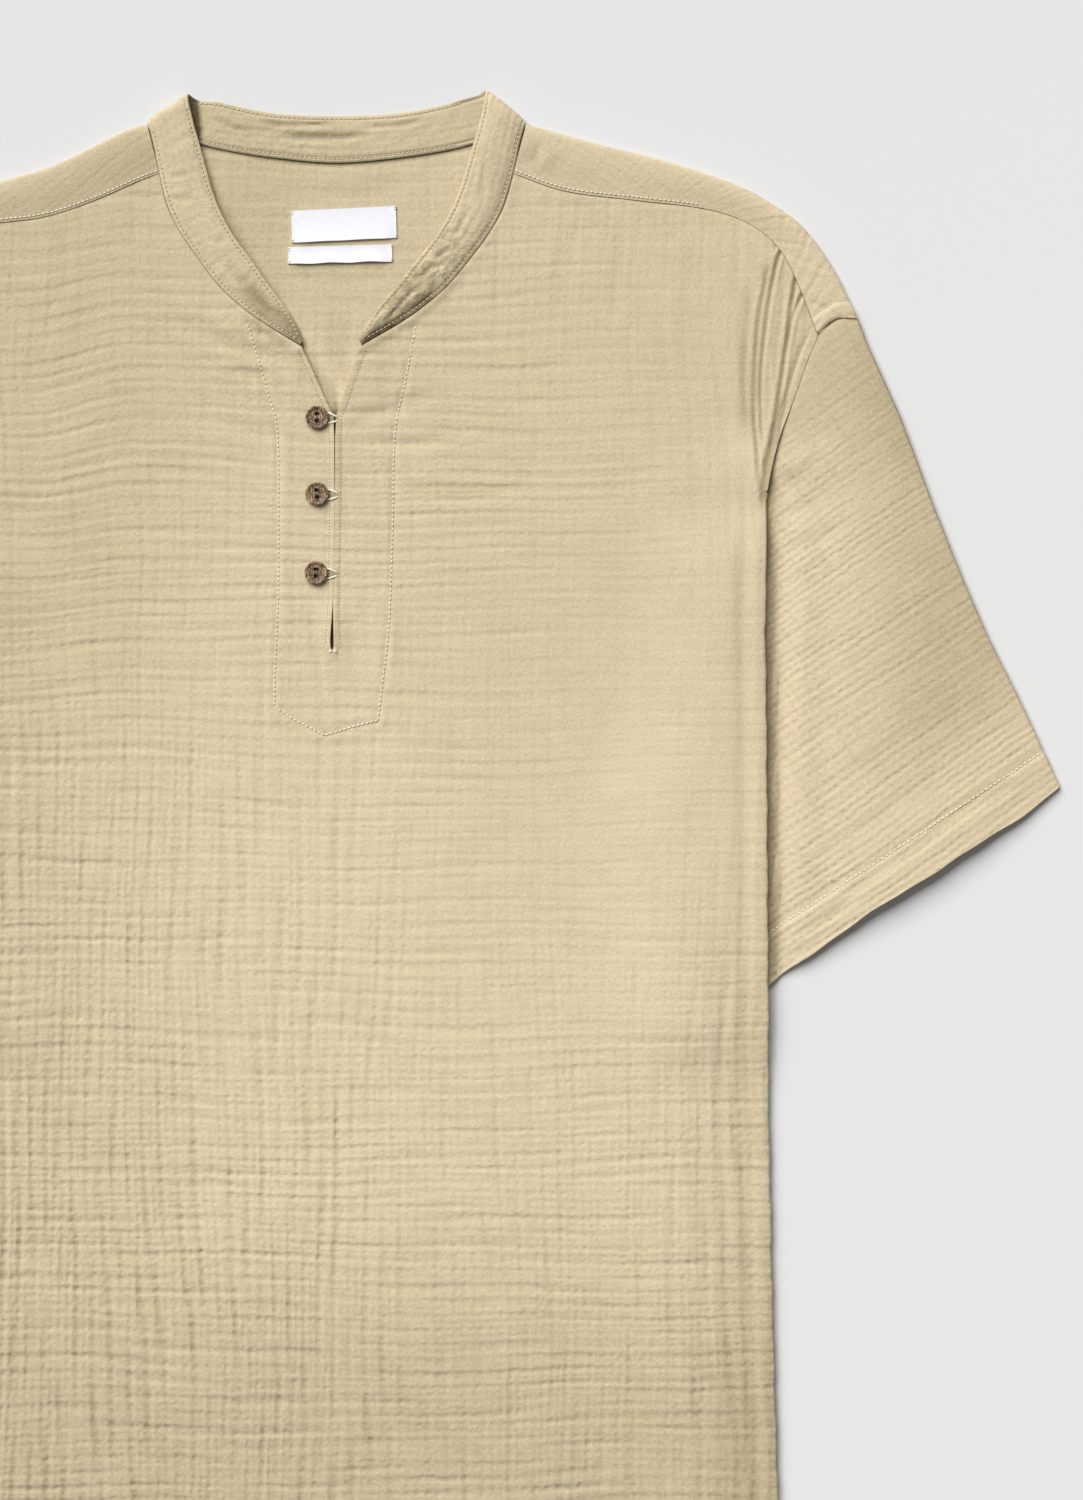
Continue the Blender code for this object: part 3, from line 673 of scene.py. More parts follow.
def sleeve_under(x, y):
    """Middle of the sleeve's lower layer: on the back's tuck inside the side edge, on the floor outside."""
    raised = (2 * LAYER + PILE_SPARE) * ease((148 - y) / 30)
    return FLOOR_LAYER + raised * (1 - ease((x - side_at(y, "fold_x") - 0.5) / 7))


def sleeve_cut(place, over):
    """The cut of the flattened sleeve, along the hem and away from it. The lower layer mirrors the upper."""
    turned = place - HEM_START
    u = turned @ HEM_RUN
    v = turned @ np.array([-HEM_RUN[1], HEM_RUN[0]])
    return np.dstack([u if over else SLEEVE_ROUND - u, v])


def sleeve_grids():
    """One grid for the right sleeve. Rows go up from the hem, columns once round from the underarm seam."""
    rows = 128
    roll = SHOULDER_ROLL
    fold_line = along(SLEEVE_FOLD[::-1], even(rows)) - (FOLD_SQUASH * roll + FLOOR_LAYER) * OUT
    seam_line = along(SLEEVE_SEAM[::-1], even(rows)) - LAYER / 2 * IN
    shares = even(88)
    hem = along(SLEEVE_HEM, shares)
    wave = 0.4 * np.sin(19 * shares + 0.4) + 0.2 * np.sin(47 * shares + 2)
    hem += np.outer(wave, (-HEM_RUN[1], HEM_RUN[0]))
    hem[0], hem[-1] = seam_line[0], fold_line[0]
    below = [r for r in SIDE[::-1] if r.y > UNDERARM_Y]
    seam = [*sideways(FRONT_ARMHOLE, SEAM)[1:], *sideways(strip_end(even(8)), GAP)[2:-1]]
    hidden = [(r.fold_x - r.front_tuck, r.y) for r in below[:-1]]
    front_top = along([seam_line[-1], *hidden, (233.4, 172), *seam, fold_line[-1]], shares)
    hidden = [(r.fold_x - r.back_tuck, r.y) for r in below[:-2]]
    seam = sideways(BACK_ARMHOLE, GAP + 0.5)[1:-1]
    back_top = along([seam_line[-1], *hidden, (233, 120), *seam, fold_line[-1]], shares)
    front = patch(hem, front_top, seam_line, fold_line)
    under = patch(hem, back_top, seam_line, fold_line)

    up, out = even(rows)[:, None], shares[None, :]
    x, y = front[..., 0], front[..., 1]
    beyond = x - side_at(y, "fold_x")
    puff = ease((beyond - 3) / 20) * np.maximum(np.sin(pi * out**1.4), 0) ** 0.8
    loft = (CUFF_LOFT * (1 - up) ** 1.5 * (1 - 0.65 * ease((out - 0.55) / 0.4)) + HEAD_LOFT) * puff
    pressed = roll * (0.45 + 0.55 * ease(up / 0.12))
    ripple = 0.5 * np.sin(out * 17 + 0.8) * (1 - up) ** 6 * puff
    covered = sleeve_under(x, y) + LAYER
    near_seam = ease((up - 0.72) / 0.28) * ease((y - 176) / 14)
    lifted = near_seam * (np.maximum(edge_height(y) - 0.5, SECOND_LAYER) - SECOND_LAYER)
    valley = 1 * hump(beyond - 3, 7) * ease((170 - y) / 30)
    height = covered + loft + ripple + lifted + (2 * pressed - LAYER) * ease((out - 0.6) / 0.4) - valley
    high = np.dstack([front, height, sleeve_cut(front, True)])
    low_height = sleeve_under(under[..., 0], under[..., 1])
    low = np.dstack([under, low_height, sleeve_cut(under, False)])

    def bend(start, end, direction):
        """Points round a fold from one layer to the other."""
        radius = (end - start)[:, 2] / 2
        made = []
        for angle in np.arange(1, 6) * pi / 6:
            at = (start + end) / 2
            at[:, :2] += (np.abs(radius) * sin(angle))[:, None] * direction
            at[:, 2] -= radius * cos(angle)
            made.append(at)
        return made

    over = bend(high[:, -1], low[:, -1], FOLD_SQUASH * OUT)
    beneath = bend(low[:, 0], high[:, 0], IN)
    spare = low[:, ::-2].transpose(1, 0, 2)
    ring = [*high.transpose(1, 0, 2), *over, *spare, *beneath, high[:, 0]]
    return np.stack(ring, axis=1)


def sleeve_strengths(place, cut):
    near_body = hump(np.abs(place[:, 0]) - 236, 45)
    head = ease((place[:, 1] - 150) / 90)
    flat = np.column_stack([np.abs(place[:, 0]), place[:, 1]])
    up = cut[:, 1]
    # Painted light falloff, darker to the outer fold and at the head, and painted shade in creases and
    # shadow.
    painted_shade = 0.5 * ease((flat[:, 0] - 262) / 70) * ease((up - 25) / 60) + 0.4 * head - 0.11
    painted_shade += 0.25 * shaded(SLEEVE_CREASES, flat) + shaded(SLEEVE_SHADE, flat)
    fine = 0.85 + 0.5 * ease((75 - up) / 55)
    fine = fine * (1 - 0.25 * ease((flat[:, 0] - 300) / 60)) - 0.35 * head
    return 0.45 - 0.3 * head, 0.15 + 0.65 * near_body, fine, 0.15, painted_shade


def sleeve_rise(place, cut, normal, depth):
    over = ease(normal[:, 2] / 0.4)
    x, y = place[:, 0].copy(), place[:, 1].copy()
    left = x < 0
    y[left] += SHOULDER_DROP * ease(-x[left] / 60 - 1.75) * ease(y[left] / 200)
    flat = np.column_stack([np.abs(x), y])
    crease = creased(SLEEVE_CREASES, flat)
    away = cut[:, 1]
    band = HEM_RIDGE * ease((SLEEVE_HEM_DEPTH - away) / 2) - 0.6 * hump(away - SLEEVE_HEM_DEPTH - 0.8, 1.6)
    pucker = 0.25 * np.sin(cut[:, 0] / 1.1) * hump(away - SLEEVE_HEM_DEPTH + 2.4, 2.6)
    seam_drop = np.zeros(len(place))
    for line in (strip_end(even(8)), FRONT_ARMHOLE[1:]):
        near, off, _ = reach(line, flat, 6)
        seam_drop[near] = np.maximum(seam_drop[near], 0.5 * hump(off, 1.5))
    outside = over * (0.15 - depth + crease + band + pucker - seam_drop)
    outside -= (1 - over) * 0.5 * depth * ease(-normal[:, 2] / 0.4)
    return outside, 0


right_grid = sleeve_grids()
sleeves = []
for node, grid in (("sleeve_right", right_grid), ("sleeve_left", mirrored(right_grid))):
    sleeve = shell(node + "_cloth", [grid], CLOTH, sleeve_rise, sleeve_strengths, coarse=4)
    stands_for(sleeve, node)
    sleeves.append(sleeve)

# ----------------------------------------------------------------------------------------------- the front
# One panel with a slit from the neck, faced on the wrong side down to a pointed end that shows as a stitched
# line. It lies over back and sleeves, and at each side it turns under and goes back in to the side seam.

FRONT_CELL = 2.3
BUTTON_Y = [213.3, 172.1, 129.5]
Slit = namedtuple("Slit", "y half_gap")
SLIT = [Slit(88, 0), Slit(89.6, 0.75), Slit(92.5, 0.95), Slit(98, 0.75), Slit(106, 0.35), Slit(114, 0.06),
        Slit(171, 0.06), Slit(184, 0.18), Slit(203, 0.22), Slit(210, 0.6), Slit(214, 0.5)]
VEE = [(0.5, 214), (4.7, 224), (9.4, 236), (16, 252.2)]
NECK_FRONT = [(17.5, 253.4), (26.5, 258.8), (37, 265.2), (48.6, 273.4), (61.8, 285.4), (74, 300.6),
              (84.2, 315.2), (91.2, 329.5), (95.8, 347.5)]
FACING = [(-46, 265), (-34.6, 226.3), (-29.7, 205.7), (-29.2, 157), (-29.4, 116.6), (-31.1, 77.3),
          (-31.3, 58.3)]
FACING_POINT = [(-31.3, 58.3), (-20.6, 51.1), (-4.3, 42.4), (11.4, 47.2), (24.6, 50.5)]
FACING_RIGHT = [(24.6, 50.5), (26.5, 67), (30.5, 103.5), (32.4, 156), (33.7, 205.7), (39.4, 234.4),
                (44.8, 263.5)]
FACING_EDGES = [FACING, FACING_POINT[:3], FACING_POINT[2:], FACING_RIGHT]

ARMHOLE_CREASES = [
    Crease(0.9, 1, [(246, 320), (238.7, 306), (235.4, 300.5), (232.4, 283.5), (230, 269.5), (228.4, 255),
                      (227.4, 232), (227.6, 212.8), (229.4, 188), (231.4, 164)]),
    Crease(0.9, 1, [(248, 316), (241.4, 302.6), (238, 290), (235.4, 276), (233.2, 260), (231.3, 242),
                      (230.6, 222.5), (231.6, 196)]),
    Crease(1.1, 1.1, [(252, 302), (249.8, 288.6), (248.2, 278.6), (246.1, 265.7), (244.2, 250.2),
                      (241.8, 232.3), (239.3, 216.5), (236.4, 201), (232.6, 184), (231.2, 164)]),
    Crease(0.8, 1, [(259, 292), (253.3, 280.2), (249.4, 271.6), (246.9, 261.9), (244.6, 246)]),
    Crease(0.4, 1.4, [(256, 262), (250.5, 246), (245, 226), (239, 202)]),
    Crease(0.4, 1.6, [(222.5, 262), (221.5, 235), (222, 205)]),
]
SIDE_SWELL = [(228.5, 165), (229, 60), (229.5, -60), (231, -200), (235, -380)]
SIDE_DIP = [(220, 150), (220.5, 60), (221, -60), (222.5, -200), (226.5, -380)]
FRONT_CREASES = ARMHOLE_CREASES + [
    Crease(0.7, 2.4, [(-233, 292), (-230, 255), (-227.5, 222), (-229, 170)]),
    Crease(0.7, 2.2, [(-246, 278), (-241, 255), (-237, 220), (-232.5, 175)]),
    Crease(-0.5, 3.6, SIDE_SWELL),
    Crease(0.35, 3.4, SIDE_DIP),
    Crease(0.3, 4, [(209, -60), (209.5, -160), (211, -280), (214, -380)]),
    Crease(0.4, 4, [(198, -120), (198.5, -220), (200, -330)]),
    Crease(-0.5, 3.6, [(-x, y) for x, y in SIDE_SWELL]),
    Crease(0.35, 3.4, [(-x, y) for x, y in SIDE_DIP]),
    Crease(0.7, 3, [(-64, 257), (-46, 250), (-26, 247)]),
    Crease(0.6, 3, [(-58, 240), (-44, 237), (-30, 238)]),
    Crease(0.5, 4, [(-90, 268), (-66, 258), (-40, 252), (-20, 240), (-8, 226)]),
    Crease(0.45, 3.4, [(-70, 214), (-45, 208), (-18, 206)]),
    Crease(0.5, 3.4, [(60, 228), (38, 221), (18, 214), (7, 205)]),
    Crease(0.4, 3.2, [(70, 206), (42, 200), (10, 203)]),
    Crease(0.45, 3.6, [(110, 176), (70, 172), (34, 176)]),
    Crease(0.4, 4, [(-150, 320), (-146, 300), (-148, 270)]),
    Crease(0.4, 3.4, [(130, 322), (126, 300), (124, 270)]),
    Crease(0.35, 3.4, [(158, 320), (154, 296), (152, 262)]),
    Crease(0.35, 3.4, [(196, 318), (193, 290), (191, 250)]),
]

# Painted shade in the armhole creases, painted shadows of loops and buttons, and beside the collar's seams.
FRONT_SHADE = [
    Crease(0.7, 2.2, [(245, 232), (241.6, 218), (237.4, 202), (234, 186), (231.4, 160)]),
    Crease(0.3, 2.6, [(244, 312), (237, 296), (231.6, 272), (229.2, 246), (229, 215)]),
    *[Crease(1.3, 1.4, [(-5, y + 0.1), (-1, y), (4, y - 0.3)]) for y in BUTTON_Y],
    Crease(0.3, 5, [(224, 290), (222, 250), (224, 200)]),
    Crease(0.35, 2.4, [(8, 246), (28, 256), (45, 267), (60, 280), (74, 297)]),
    Crease(0.35, 3, [(-20, 250), (-34, 259), (-50, 271)]),
]


def front_height(x, y):
    """Middle of the front: flat on the back, rising over the pile at the side, a little loose all over."""
    inside = side_at(y, "fold_x") - x
    ramp = 1 - ease((inside - side_at(y, "front_tuck") - 3) / 65)
    loose = 0.35 * (1 + np.sin(x / 37 + y / 58)) * (1 + np.sin(y / 49 - x / 83))
    loose = loose * ease(inside / 60)
    lip = 0.35 * ease(1 - inside / 9) * ease((200 - y) / 30)
    sewn = ease((335 - y) / 40) * ease((x - 6) / 40)
    standing = 1.2 * ease((y - 216) / 20) * ease((300 - y) / 50) * hump(x - 0.42 * (y - 214), 22)
    parted = 1.5 * hump(x, 8) * (hump(y - 100, 17) + 0.5 * hump(y - 196, 18))
    return SECOND_LAYER + (edge_height(y) - SECOND_LAYER) * ramp + loose * sewn + lip + standing + parted


def edge_wave(y):
    """How the crinkles make the side fold wavy."""
    return (0.15 * np.sin(y / 2.3) + 0.2 * np.sin(y / 5.9 + 1)) * ease((150 - y) / 40)


def front_grids():
    """Half of the front with its side tuck, then the other half."""
    columns = graded((6, 0.95), (19, 2.4), (10, 1.3), (136, 4), (62, 1))

    def across(y, start):
        """A row from the slit or the middle to the side fold."""
        return straight((start, y), (side_at(y, "fold_x") + edge_wave(y) - LAYER / 2, y), columns)

    levels = np.linspace(HEM_Y, SLIT[0].y, 1 + round((SLIT[0].y - HEM_Y) / FRONT_CELL))
    beside = np.linspace(SLIT[0].y, FRONT_PLEAT_Y, 41)
    gap = np.interp(beside, *zip(*SLIT))
    body = np.stack([across(y, 0) for y in levels])
    chest = np.stack([across(y, start) for y, start in zip(beside, gap)])
    neck = sideways(along(NECK_FRONT, even(52)), 2 * SEAM)
    shoulder = sideways(along(SHOULDER_SEAM, columns), SEAM)
    slit_y = np.linspace(FRONT_PLEAT_Y, SLIT[-1].y, 25)
    slit = np.column_stack([np.interp(slit_y, *zip(*SLIT)), slit_y])
    vee = along(VEE, even(20))
    inner = np.vstack([slit, vee[1:]])
    armhole = along(FRONT_ARMHOLE, even(len(inner) + len(neck) - 2))
    armhole[0] = chest[-1, -1]
    armhole[-1] = shoulder[-1]
    neck[0], neck[-1] = vee[-1], shoulder[0]
    beneath = np.stack([straight(a, b, columns) for a, b in zip(inner, armhole)])
    turn = len(inner) - 1
    upper = patch(beneath[-1], shoulder, neck, armhole[turn:])
    flat = stack([body, chest, beneath, upper])
    main = flat_grid(flat, front_height(flat[..., 0], flat[..., 1]))
    folded = np.concatenate([levels, beside[1:]])
    edge = main[: len(folded), -1]
    low = edge_height(folded) - LAYER
    tuck = folded_edge(edge, (1, 0), low, side_at(folded, "front_tuck"), 6)
    return [main, tuck, mirrored(main), mirrored(tuck)]


def front_strengths(place, cut):
    x, y = place[:, 0], place[:, 1]
    low_left = ease((70 - x) / 130) * ease((150 - y) / 220)
    edge = hump(np.abs(x) - 215, 26) * ease((20 - y) / 160)
    arm = hump(np.abs(x) - 228, 36) * ease((y - 90) / 60)
    plain = hump(x - 165, 75) * hump(y - 70, 130)
    middle = hump(x - 20, 100) * hump(y - 200, 110)
    wide = ease((20 - y) / 330)
    upright = 0.4 + 0.42 * wide + 0.75 * low_left + 0.6 * edge + 0.3 * arm - 0.3 * plain
    level = 0.7 + 0.48 * wide + 0.4 * middle + 0.45 * ease((-60 - x) / 90) * hump(y + 20, 170)
    level -= 0.5 * plain + 0.5 * arm + 0.3 * hump(x - 150, 80) * hump(y - 290, 60)
    left = ease((-40 - x) / 90)
    # Painted light falloff: darker to the hem, top and left and low by the right edge; painted shade in
    # creases.
    painted_shade = 0.04 - 0.17 * ease((130 - y) / 150) + 0.35 * ease((-190 - y) / 150)
    painted_shade += left * (0.15 - 0.14 * ease((-180 - y) / 130)) + 0.12 * ease((y - 120) / 150)
    painted_shade += 0.18 * hump(x - 225, 20) * ease((-5 - y) / 100)
    painted_shade += 0.08 * ease((x - 30) / 60) * hump(y - 10, 130)
    painted_shade += 0.6 * shaded(ARMHOLE_CREASES, place[:, :2]) + 0.12 * shaded(FRONT_CREASES, place[:, :2])
    painted_shade += shaded(FRONT_SHADE, place[:, :2])
    crumple = 0.1 + 0.12 * wide + 0.25 * hump(x + 40, 40) * hump(y - 240, 30)
    return level, upright, 0, crumple, painted_shade


def front_rise(place, cut, normal, depth):
    xy = place[:, :2]
    x, y = place[:, 0], place[:, 1]
    over = ease(normal[:, 2] / 0.5)
    seam_y = np.interp(np.abs(x), [200, 226, 241, 252, 263], [326.6, 318, 305, 285, 259])
    loose = 0.4 + 0.6 * ease((seam_y - y) / 14)
    loose *= hump(np.abs(x) - 236, 20) * ease((y - 165) / 30)
    faced = ease((34 - np.abs(x - 1) - 0.06 * (y - 140)) / 6) * ease((y - 44) / 8)
    rise = 0.15 - depth + creased(FRONT_CREASES, xy) + 1.7 * loose + 0.45 * faced
    rise += HEM_RIDGE * ease((HEM_Y + HEM_DEPTH - y) / 1.5) - 0.4 * hump(y - HEM_Y - HEM_DEPTH, 1.5)
    for line in FACING_EDGES:
        near, away, _ = reach(line, xy, 15)
        rise[near] -= 0.32 * hump(away, 1.7) - 0.2 * hump(away - 3.2, 1.8)
    for side in (1, -1):
        near, away, _ = reach(laid(np.array(FRONT_ARMHOLE) * (side, 1)), xy, 14)
        rise[near] += 0.2 * (1 - ease((away - 3.6) / 1.8)) - 0.25 * hump(away - 4.9, 1)
        for line, swell in ((SHOULDER_SEAM, 0.1), (NECK_FRONT, 0.45)):
            near, away, _ = reach(laid(np.array(line) * (side, 1)), xy, 9)
            rise[near] += swell * hump(away, 4) - 0.3 * hump(away, 1)
        opening = np.array([(r.half_gap, r.y) for r in SLIT] + VEE[1:])
        near, away, _ = reach(laid(opening * (side, 1)), xy, 9)
        rise[near] += 0.25 * (1 - ease((away - 2.4) / 1.5)) - 0.12 * hump(away - 3.2, 0.9)
    return over * rise, 0


front = shell("front_cloth", front_grids(), CLOTH, front_rise, front_strengths, coarse=4)
stands_for(front, "front")

# ---------------------------------------------------------------------------------------------- the collar
# A standing band of two layers with a stiffener between, topstitched near both edges, with curved front ends.
# It was folded flat at the sides of the neck, so the back shows its inside and the front its outside.

Band = namedtuple("Band", "seam_x seam_y top_x top_y seam_z top_z")
BAND = [
    Band(0, 351.5, 0, 376.7, 2.2, 1.6),
    Band(34, 354.3, 31, 377.8, 2.2, 1.7),
    Band(63, 359, 54, 381.8, 2, 1.8),
    Band(86, 365.2, 69.5, 386, 1.6, 1.6),
    Band(97.2, 370.2, 76.4, 388, 1.3, 1.4),
    Band(102, 372.4, 80, 390.4, 2.7, 3.6),
    Band(101.2, 370.6, 80, 387.4, 4, 5.4),
    Band(98.6, 361, 77.6, 375, 3.5, 5.3),
    Band(95.9, 348, 72.6, 357, 2.9, 4.9),
    Band(91, 329.5, 67, 337.6, 2.6, 4.6),
    Band(84.2, 315.2, 61.8, 324.6, 2.5, 4.5),
    Band(74, 300.6, 54.4, 311.6, 2.4, 4.5),
    Band(61.8, 285.4, 44.8, 299, 2.4, 4.6),
    Band(48.6, 273.4, 35.6, 286.4, 2.5, 4.8),
    Band(37, 265.2, 28, 277, 2.7, 4.8),
    Band(26.5, 258.8, 21, 267.2, 3, 4.7),
    Band(20, 254.9, 17.2, 260, 3.3, 4.5),
    Band(16.6, 252.9, 15.6, 255.4, 3.5, 4.3),
]
BAND_WALL = 2
BAND_EDGE = 1.9  # how far the topstitching runs from each edge
LEFT_ROLL = 2  # how far the inner edge of the left end turns down
BAND_CUT = 500  # where the band's cut begins, well away from the body's

COLLAR_CREASES = [
    Crease(0.7, 1.2, [(66, 310), (69, 318), (74, 328)]),
    Crease(0.8, 1.2, [(54, 297), (60, 303), (66, 305)]),
    Crease(0.7, 1.2, [(47, 287), (52, 294), (61, 296.5)]),
    Crease(0.8, 1.2, [(38, 274), (42, 281), (51, 286)]),
    Crease(0.8, 1.1, [(28, 266), (34, 272), (40, 279)]),
    Crease(0.6, 1.2, [(57, 308), (62, 313), (70, 314)]),
    Crease(0.6, 1.1, [(44, 294), (47, 299), (54, 302)]),
    Crease(0.5, 1.3, [(80, 330), (81, 340), (82, 352)]),
    Crease(0.5, 2, [(-58, 300), (-52, 291), (-44, 282)]),
    Crease(0.5, 1.8, [(-46, 286), (-38, 276), (-28, 266)]),
    Crease(0.35, 1.8, [(-54, 291), (-49, 288), (-43, 291)]),
    Crease(0.3, 1.8, [(-68, 312), (-63, 309), (-57, 311)]),
    Crease(0.4, 1.6, [(-86, 333), (-80, 331), (-74, 334)]),
    Crease(0.4, 1.4, [(-88, 346), (-82, 344), (-76, 347)]),
    Crease(1.2, 1.4, [(-44, 373.5), (-20, 372), (6, 372.5)]),
    Crease(0.9, 1.5, [(-30, 366), (0, 364.5), (24, 367)]),
    Crease(0.9, 1.5, [(14, 371), (34, 371.5), (52, 375)]),
    Crease(0.7, 1.4, [(-66, 376), (-54, 371), (-44, 368)]),
]
# Painted shade on the collar's ends: the left tip, and the right end by its lower seam.
COLLAR_SHADE = [
    Crease(0.75, 6, [(-8, 241), (-19, 254), (-26, 262.5), (-37, 273.5), (-52, 291)]),
    Crease(0.5, 3, [(-9, 246), (-17, 256), (-23, 265), (-33, 277)]),
    Crease(0.65, 8, [(12, 249), (22, 262), (34, 273), (46, 285), (55, 298)]),
    Crease(1.1, 3.4, [(6, 245), (17, 254), (28, 261), (42, 270.5), (58, 285)]),
    Crease(0.35, 3.6, [(42, 270.5), (60, 287), (76, 308), (88, 330), (95, 352)]),
]
# Painted shade inside the band at the back: a dark wedge in each corner's fold, and in its creases.
BEHIND_SHADE = [
    Crease(2.6, 3, [(-76.8, 400), (-75.4, 386), (-74.4, 378), (-73.4, 369), (-72.4, 356)]),
    Crease(0.4, 3, [(-32, 367.5), (-8, 366.5), (16, 368)]),
    Crease(0.4, 1.6, [(-64, 371), (-44, 370), (-18, 372.5)]),
    Crease(0.9, 2, [(84, 392), (76, 387), (70, 385), (62, 382)]),
]


def collar_grid():
    """The middle of the band: rows from seam to top edge, columns from the left front end to the right."""
    table = np.array(BAND)
    whole_way = np.vstack([(table * (-1, 1, -1, 1, 1, 1))[:0:-1], table])
    line = along(whole_way, even(400))
    seam, top = line[:, [0, 1, 4]], line[:, [2, 3, 5]]
    share = graded((3.6, 0.45), (19, 1.5), (3.6, 0.45))[:, None, None]
    middle = seam + share * (top - seam)
    middle[..., 2] += 1.4 * np.sin(pi * share[..., 0]) * ease((line[:, 4] - 2.4) / 0.6)
    middle[..., 1] -= 2.2 * ease((middle[..., 1] - 376) / 10) * ease((-62 - middle[..., 0]) / 12)
    left_end = ease(-middle[..., 0] / 6) * ease((298 - middle[..., 1]) / 34)
    middle[..., 2] -= LEFT_ROLL * share[..., 0] ** 2 * left_end
    run = np.concatenate([[0], np.cumsum(np.linalg.norm(np.diff(line[:, :2], axis=0), axis=1))])
    across = share[..., 0] * np.linalg.norm(top - seam, axis=1)
    cut = np.dstack([np.broadcast_to(run, across.shape), across + BAND_CUT])
    return np.dstack([middle, cut])


def collar_strengths(place, cut):
    xy = place[:, :2]
    right_end = ease((xy[:, 0] - 10) / 20) * ease((335 - xy[:, 1]) / 50)
    behind = (cut[:, 0] > band_run[turn_left]) & (cut[:, 0] < band_run[turn_right])
    # Painted shade: a little all over, more on the left and inside the back, in creases and along shade
    # lines.
    painted_shade = 0.08 + 0.35 * shaded(COLLAR_CREASES, xy) + 0.08 * ease(-xy[:, 0] / 20)
    painted_shade += np.where(behind, 0.2 + shaded(BEHIND_SHADE, xy), shaded(COLLAR_SHADE, xy))
    crumple = 0.25 + 0.85 * right_end - 0.1 * behind
    return 0.3, 0.3, 0.4, crumple, painted_shade


def collar_rise(place, cut, normal, depth):
    """The wall thins to a rolled edge at seam and top, with a groove where it is stitched."""
    across = cut[:, 1] - BAND_CUT
    full = np.interp(cut[:, 0], band_run, band_width)
    edge = np.minimum(across, full - across)
    rolled = -0.85 * hump(edge, 0.9) - 0.45 * hump(edge - BAND_EDGE, 0.7) + 0.2 * hump(edge - 0.9, 0.5)
    crease = creased(COLLAR_CREASES, place[:, :2])
    x, y = place[:, 0], place[:, 1]
    crumple = 0.22 * np.sin(x / 1.9 + 2 * np.sin(y / 5.1)) * np.sin(y / 2.3 + 1.6 * np.sin(x / 6.3))
    right_end = ease((x - 10) / 20) * ease((330 - y) / 50)
    crease += crumple * (0.3 + 0.6 * right_end + 0.25 * ease((y - 352) / 8))
    body = ease((edge - BAND_EDGE) / 2)
    over = normal[:, 2] > 0
    shown = rolled + body * (0.3 - 0.9 * depth + crease)
    hidden = rolled + body * (0.1 - 0.5 * depth)
    return np.where(over, shown, hidden), np.where(over, hidden, shown)


collar_points = collar_grid()
band_run = collar_points[0, :, 3]
band_width = collar_points[-1, :, 4] - BAND_CUT
turn_left, turn_right = np.argmin(collar_points[0, :, 0]), np.argmax(collar_points[0, :, 0])
collar = shell("collar_cloth", [collar_points], BAND_WALL, collar_rise, collar_strengths)
stands_for(collar, "collar")

# ---------------------------------------------------------------------------------------------- the labels
# Two bare woven satin labels inside the back of the neck, one under the other. Their ends are folded under
# and caught down at the corners only, so that their lower edges stand away from the cloth.

Label = namedtuple("Label", "name x y width height turn lift wave")
LABELS = [
    Label("label_main", 4.8, 318.2, 56.4, 17.2, 2.7, 0.9, 0.2),
    Label("label_size", 3.2, 302.1, 56, 9.2, 1.6, 1.3, 0.6),
]
LABEL_WALL = 0.45
LABEL_FOOT = CLOTH + 0.55


def satin(name):
    """White warp satin: fine ribs along the ribbon, a little sheen, and a hair of unevenness."""
    made, start = new_finish(name)
    cut = start.add("ShaderNodeUVMap", {"uv_map": "cut"})
    along_u, along_v = cut.parts()
    ribs = sine(along_v * (2000 * pi / 0.42)) * (0.6 + 0.4 * sine(along_u * (2000 * pi / 0.9)))
    noise = cut.noise(380, 3)
    colour = (0.45 * noise + 0.12 * ribs).mixed((0.93, 0.925, 0.98, 1), (0.78, 0.77, 0.84, 1))
    constants = {"Roughness": 0.5, "Specular IOR Level": 0.35, "Sheen Weight": 0.1}
    return finished(made, colour, constants, 0.03 * ribs + 0.05 * noise)


def plain_strengths(place, cut):
    return (0,) * len(STRENGTHS)


def label_rise(place, cut, normal, depth):
    """The folded ends are a little thicker."""
    return 0.12 * hump(28 - np.abs(cut[:, 0]), 1.6), 0


label_finish = satin("woven_satin")
labels = []
for row in LABELS:
    u, v = np.meshgrid(even(60) - 0.5, even(14) - 0.5)
    c, s = cos(radians(row.turn)), sin(radians(row.turn))
    flat_u, flat_v = u * row.width, v * row.height
    wavy = row.wave * np.sin(u * 17 + row.x) * (0.5 - v)
    free = ease((0.5 - np.abs(u)) / 0.12)
    lowest = LABEL_FOOT + LABEL_WALL / 2
    height = lowest + (row.lift * (0.5 - v) ** 2 + 0.3 * (0.5 + v) ** 4 + 0.4 * wavy) * free
    flat_v = flat_v + 0.35 * wavy
    x = row.x + c * flat_u - s * flat_v
    y = row.y + s * flat_u + c * flat_v
    grid = np.dstack([x, y, np.maximum(height, lowest), u * row.width, v * row.height])
    label = shell(row.name + "_ribbon", [grid], LABEL_WALL, label_rise, plain_strengths, finish=label_finish)
    stands_for(label, row.name)
    labels.append(label)

# ------------------------------------------------------------------------------------------- the stitching
# Everything is topstitched by machine with cotton thread, which lies on the cloth between needle holes. Each
# stitched piece gets its stitches as one mesh, set down on its surface.

STITCH = 2.5
THREAD = 0.31  # radius
HOLE = 0.3
STITCH_SHARES = np.array([0.1, 0.28, 0.5, 0.72, 0.9])
STITCH_LIFT = np.array([-0.12, 0.18, 0.26, 0.18, -0.12])
STITCH_ROUND = np.array([0.6, 1, 1.05, 1, 0.6])


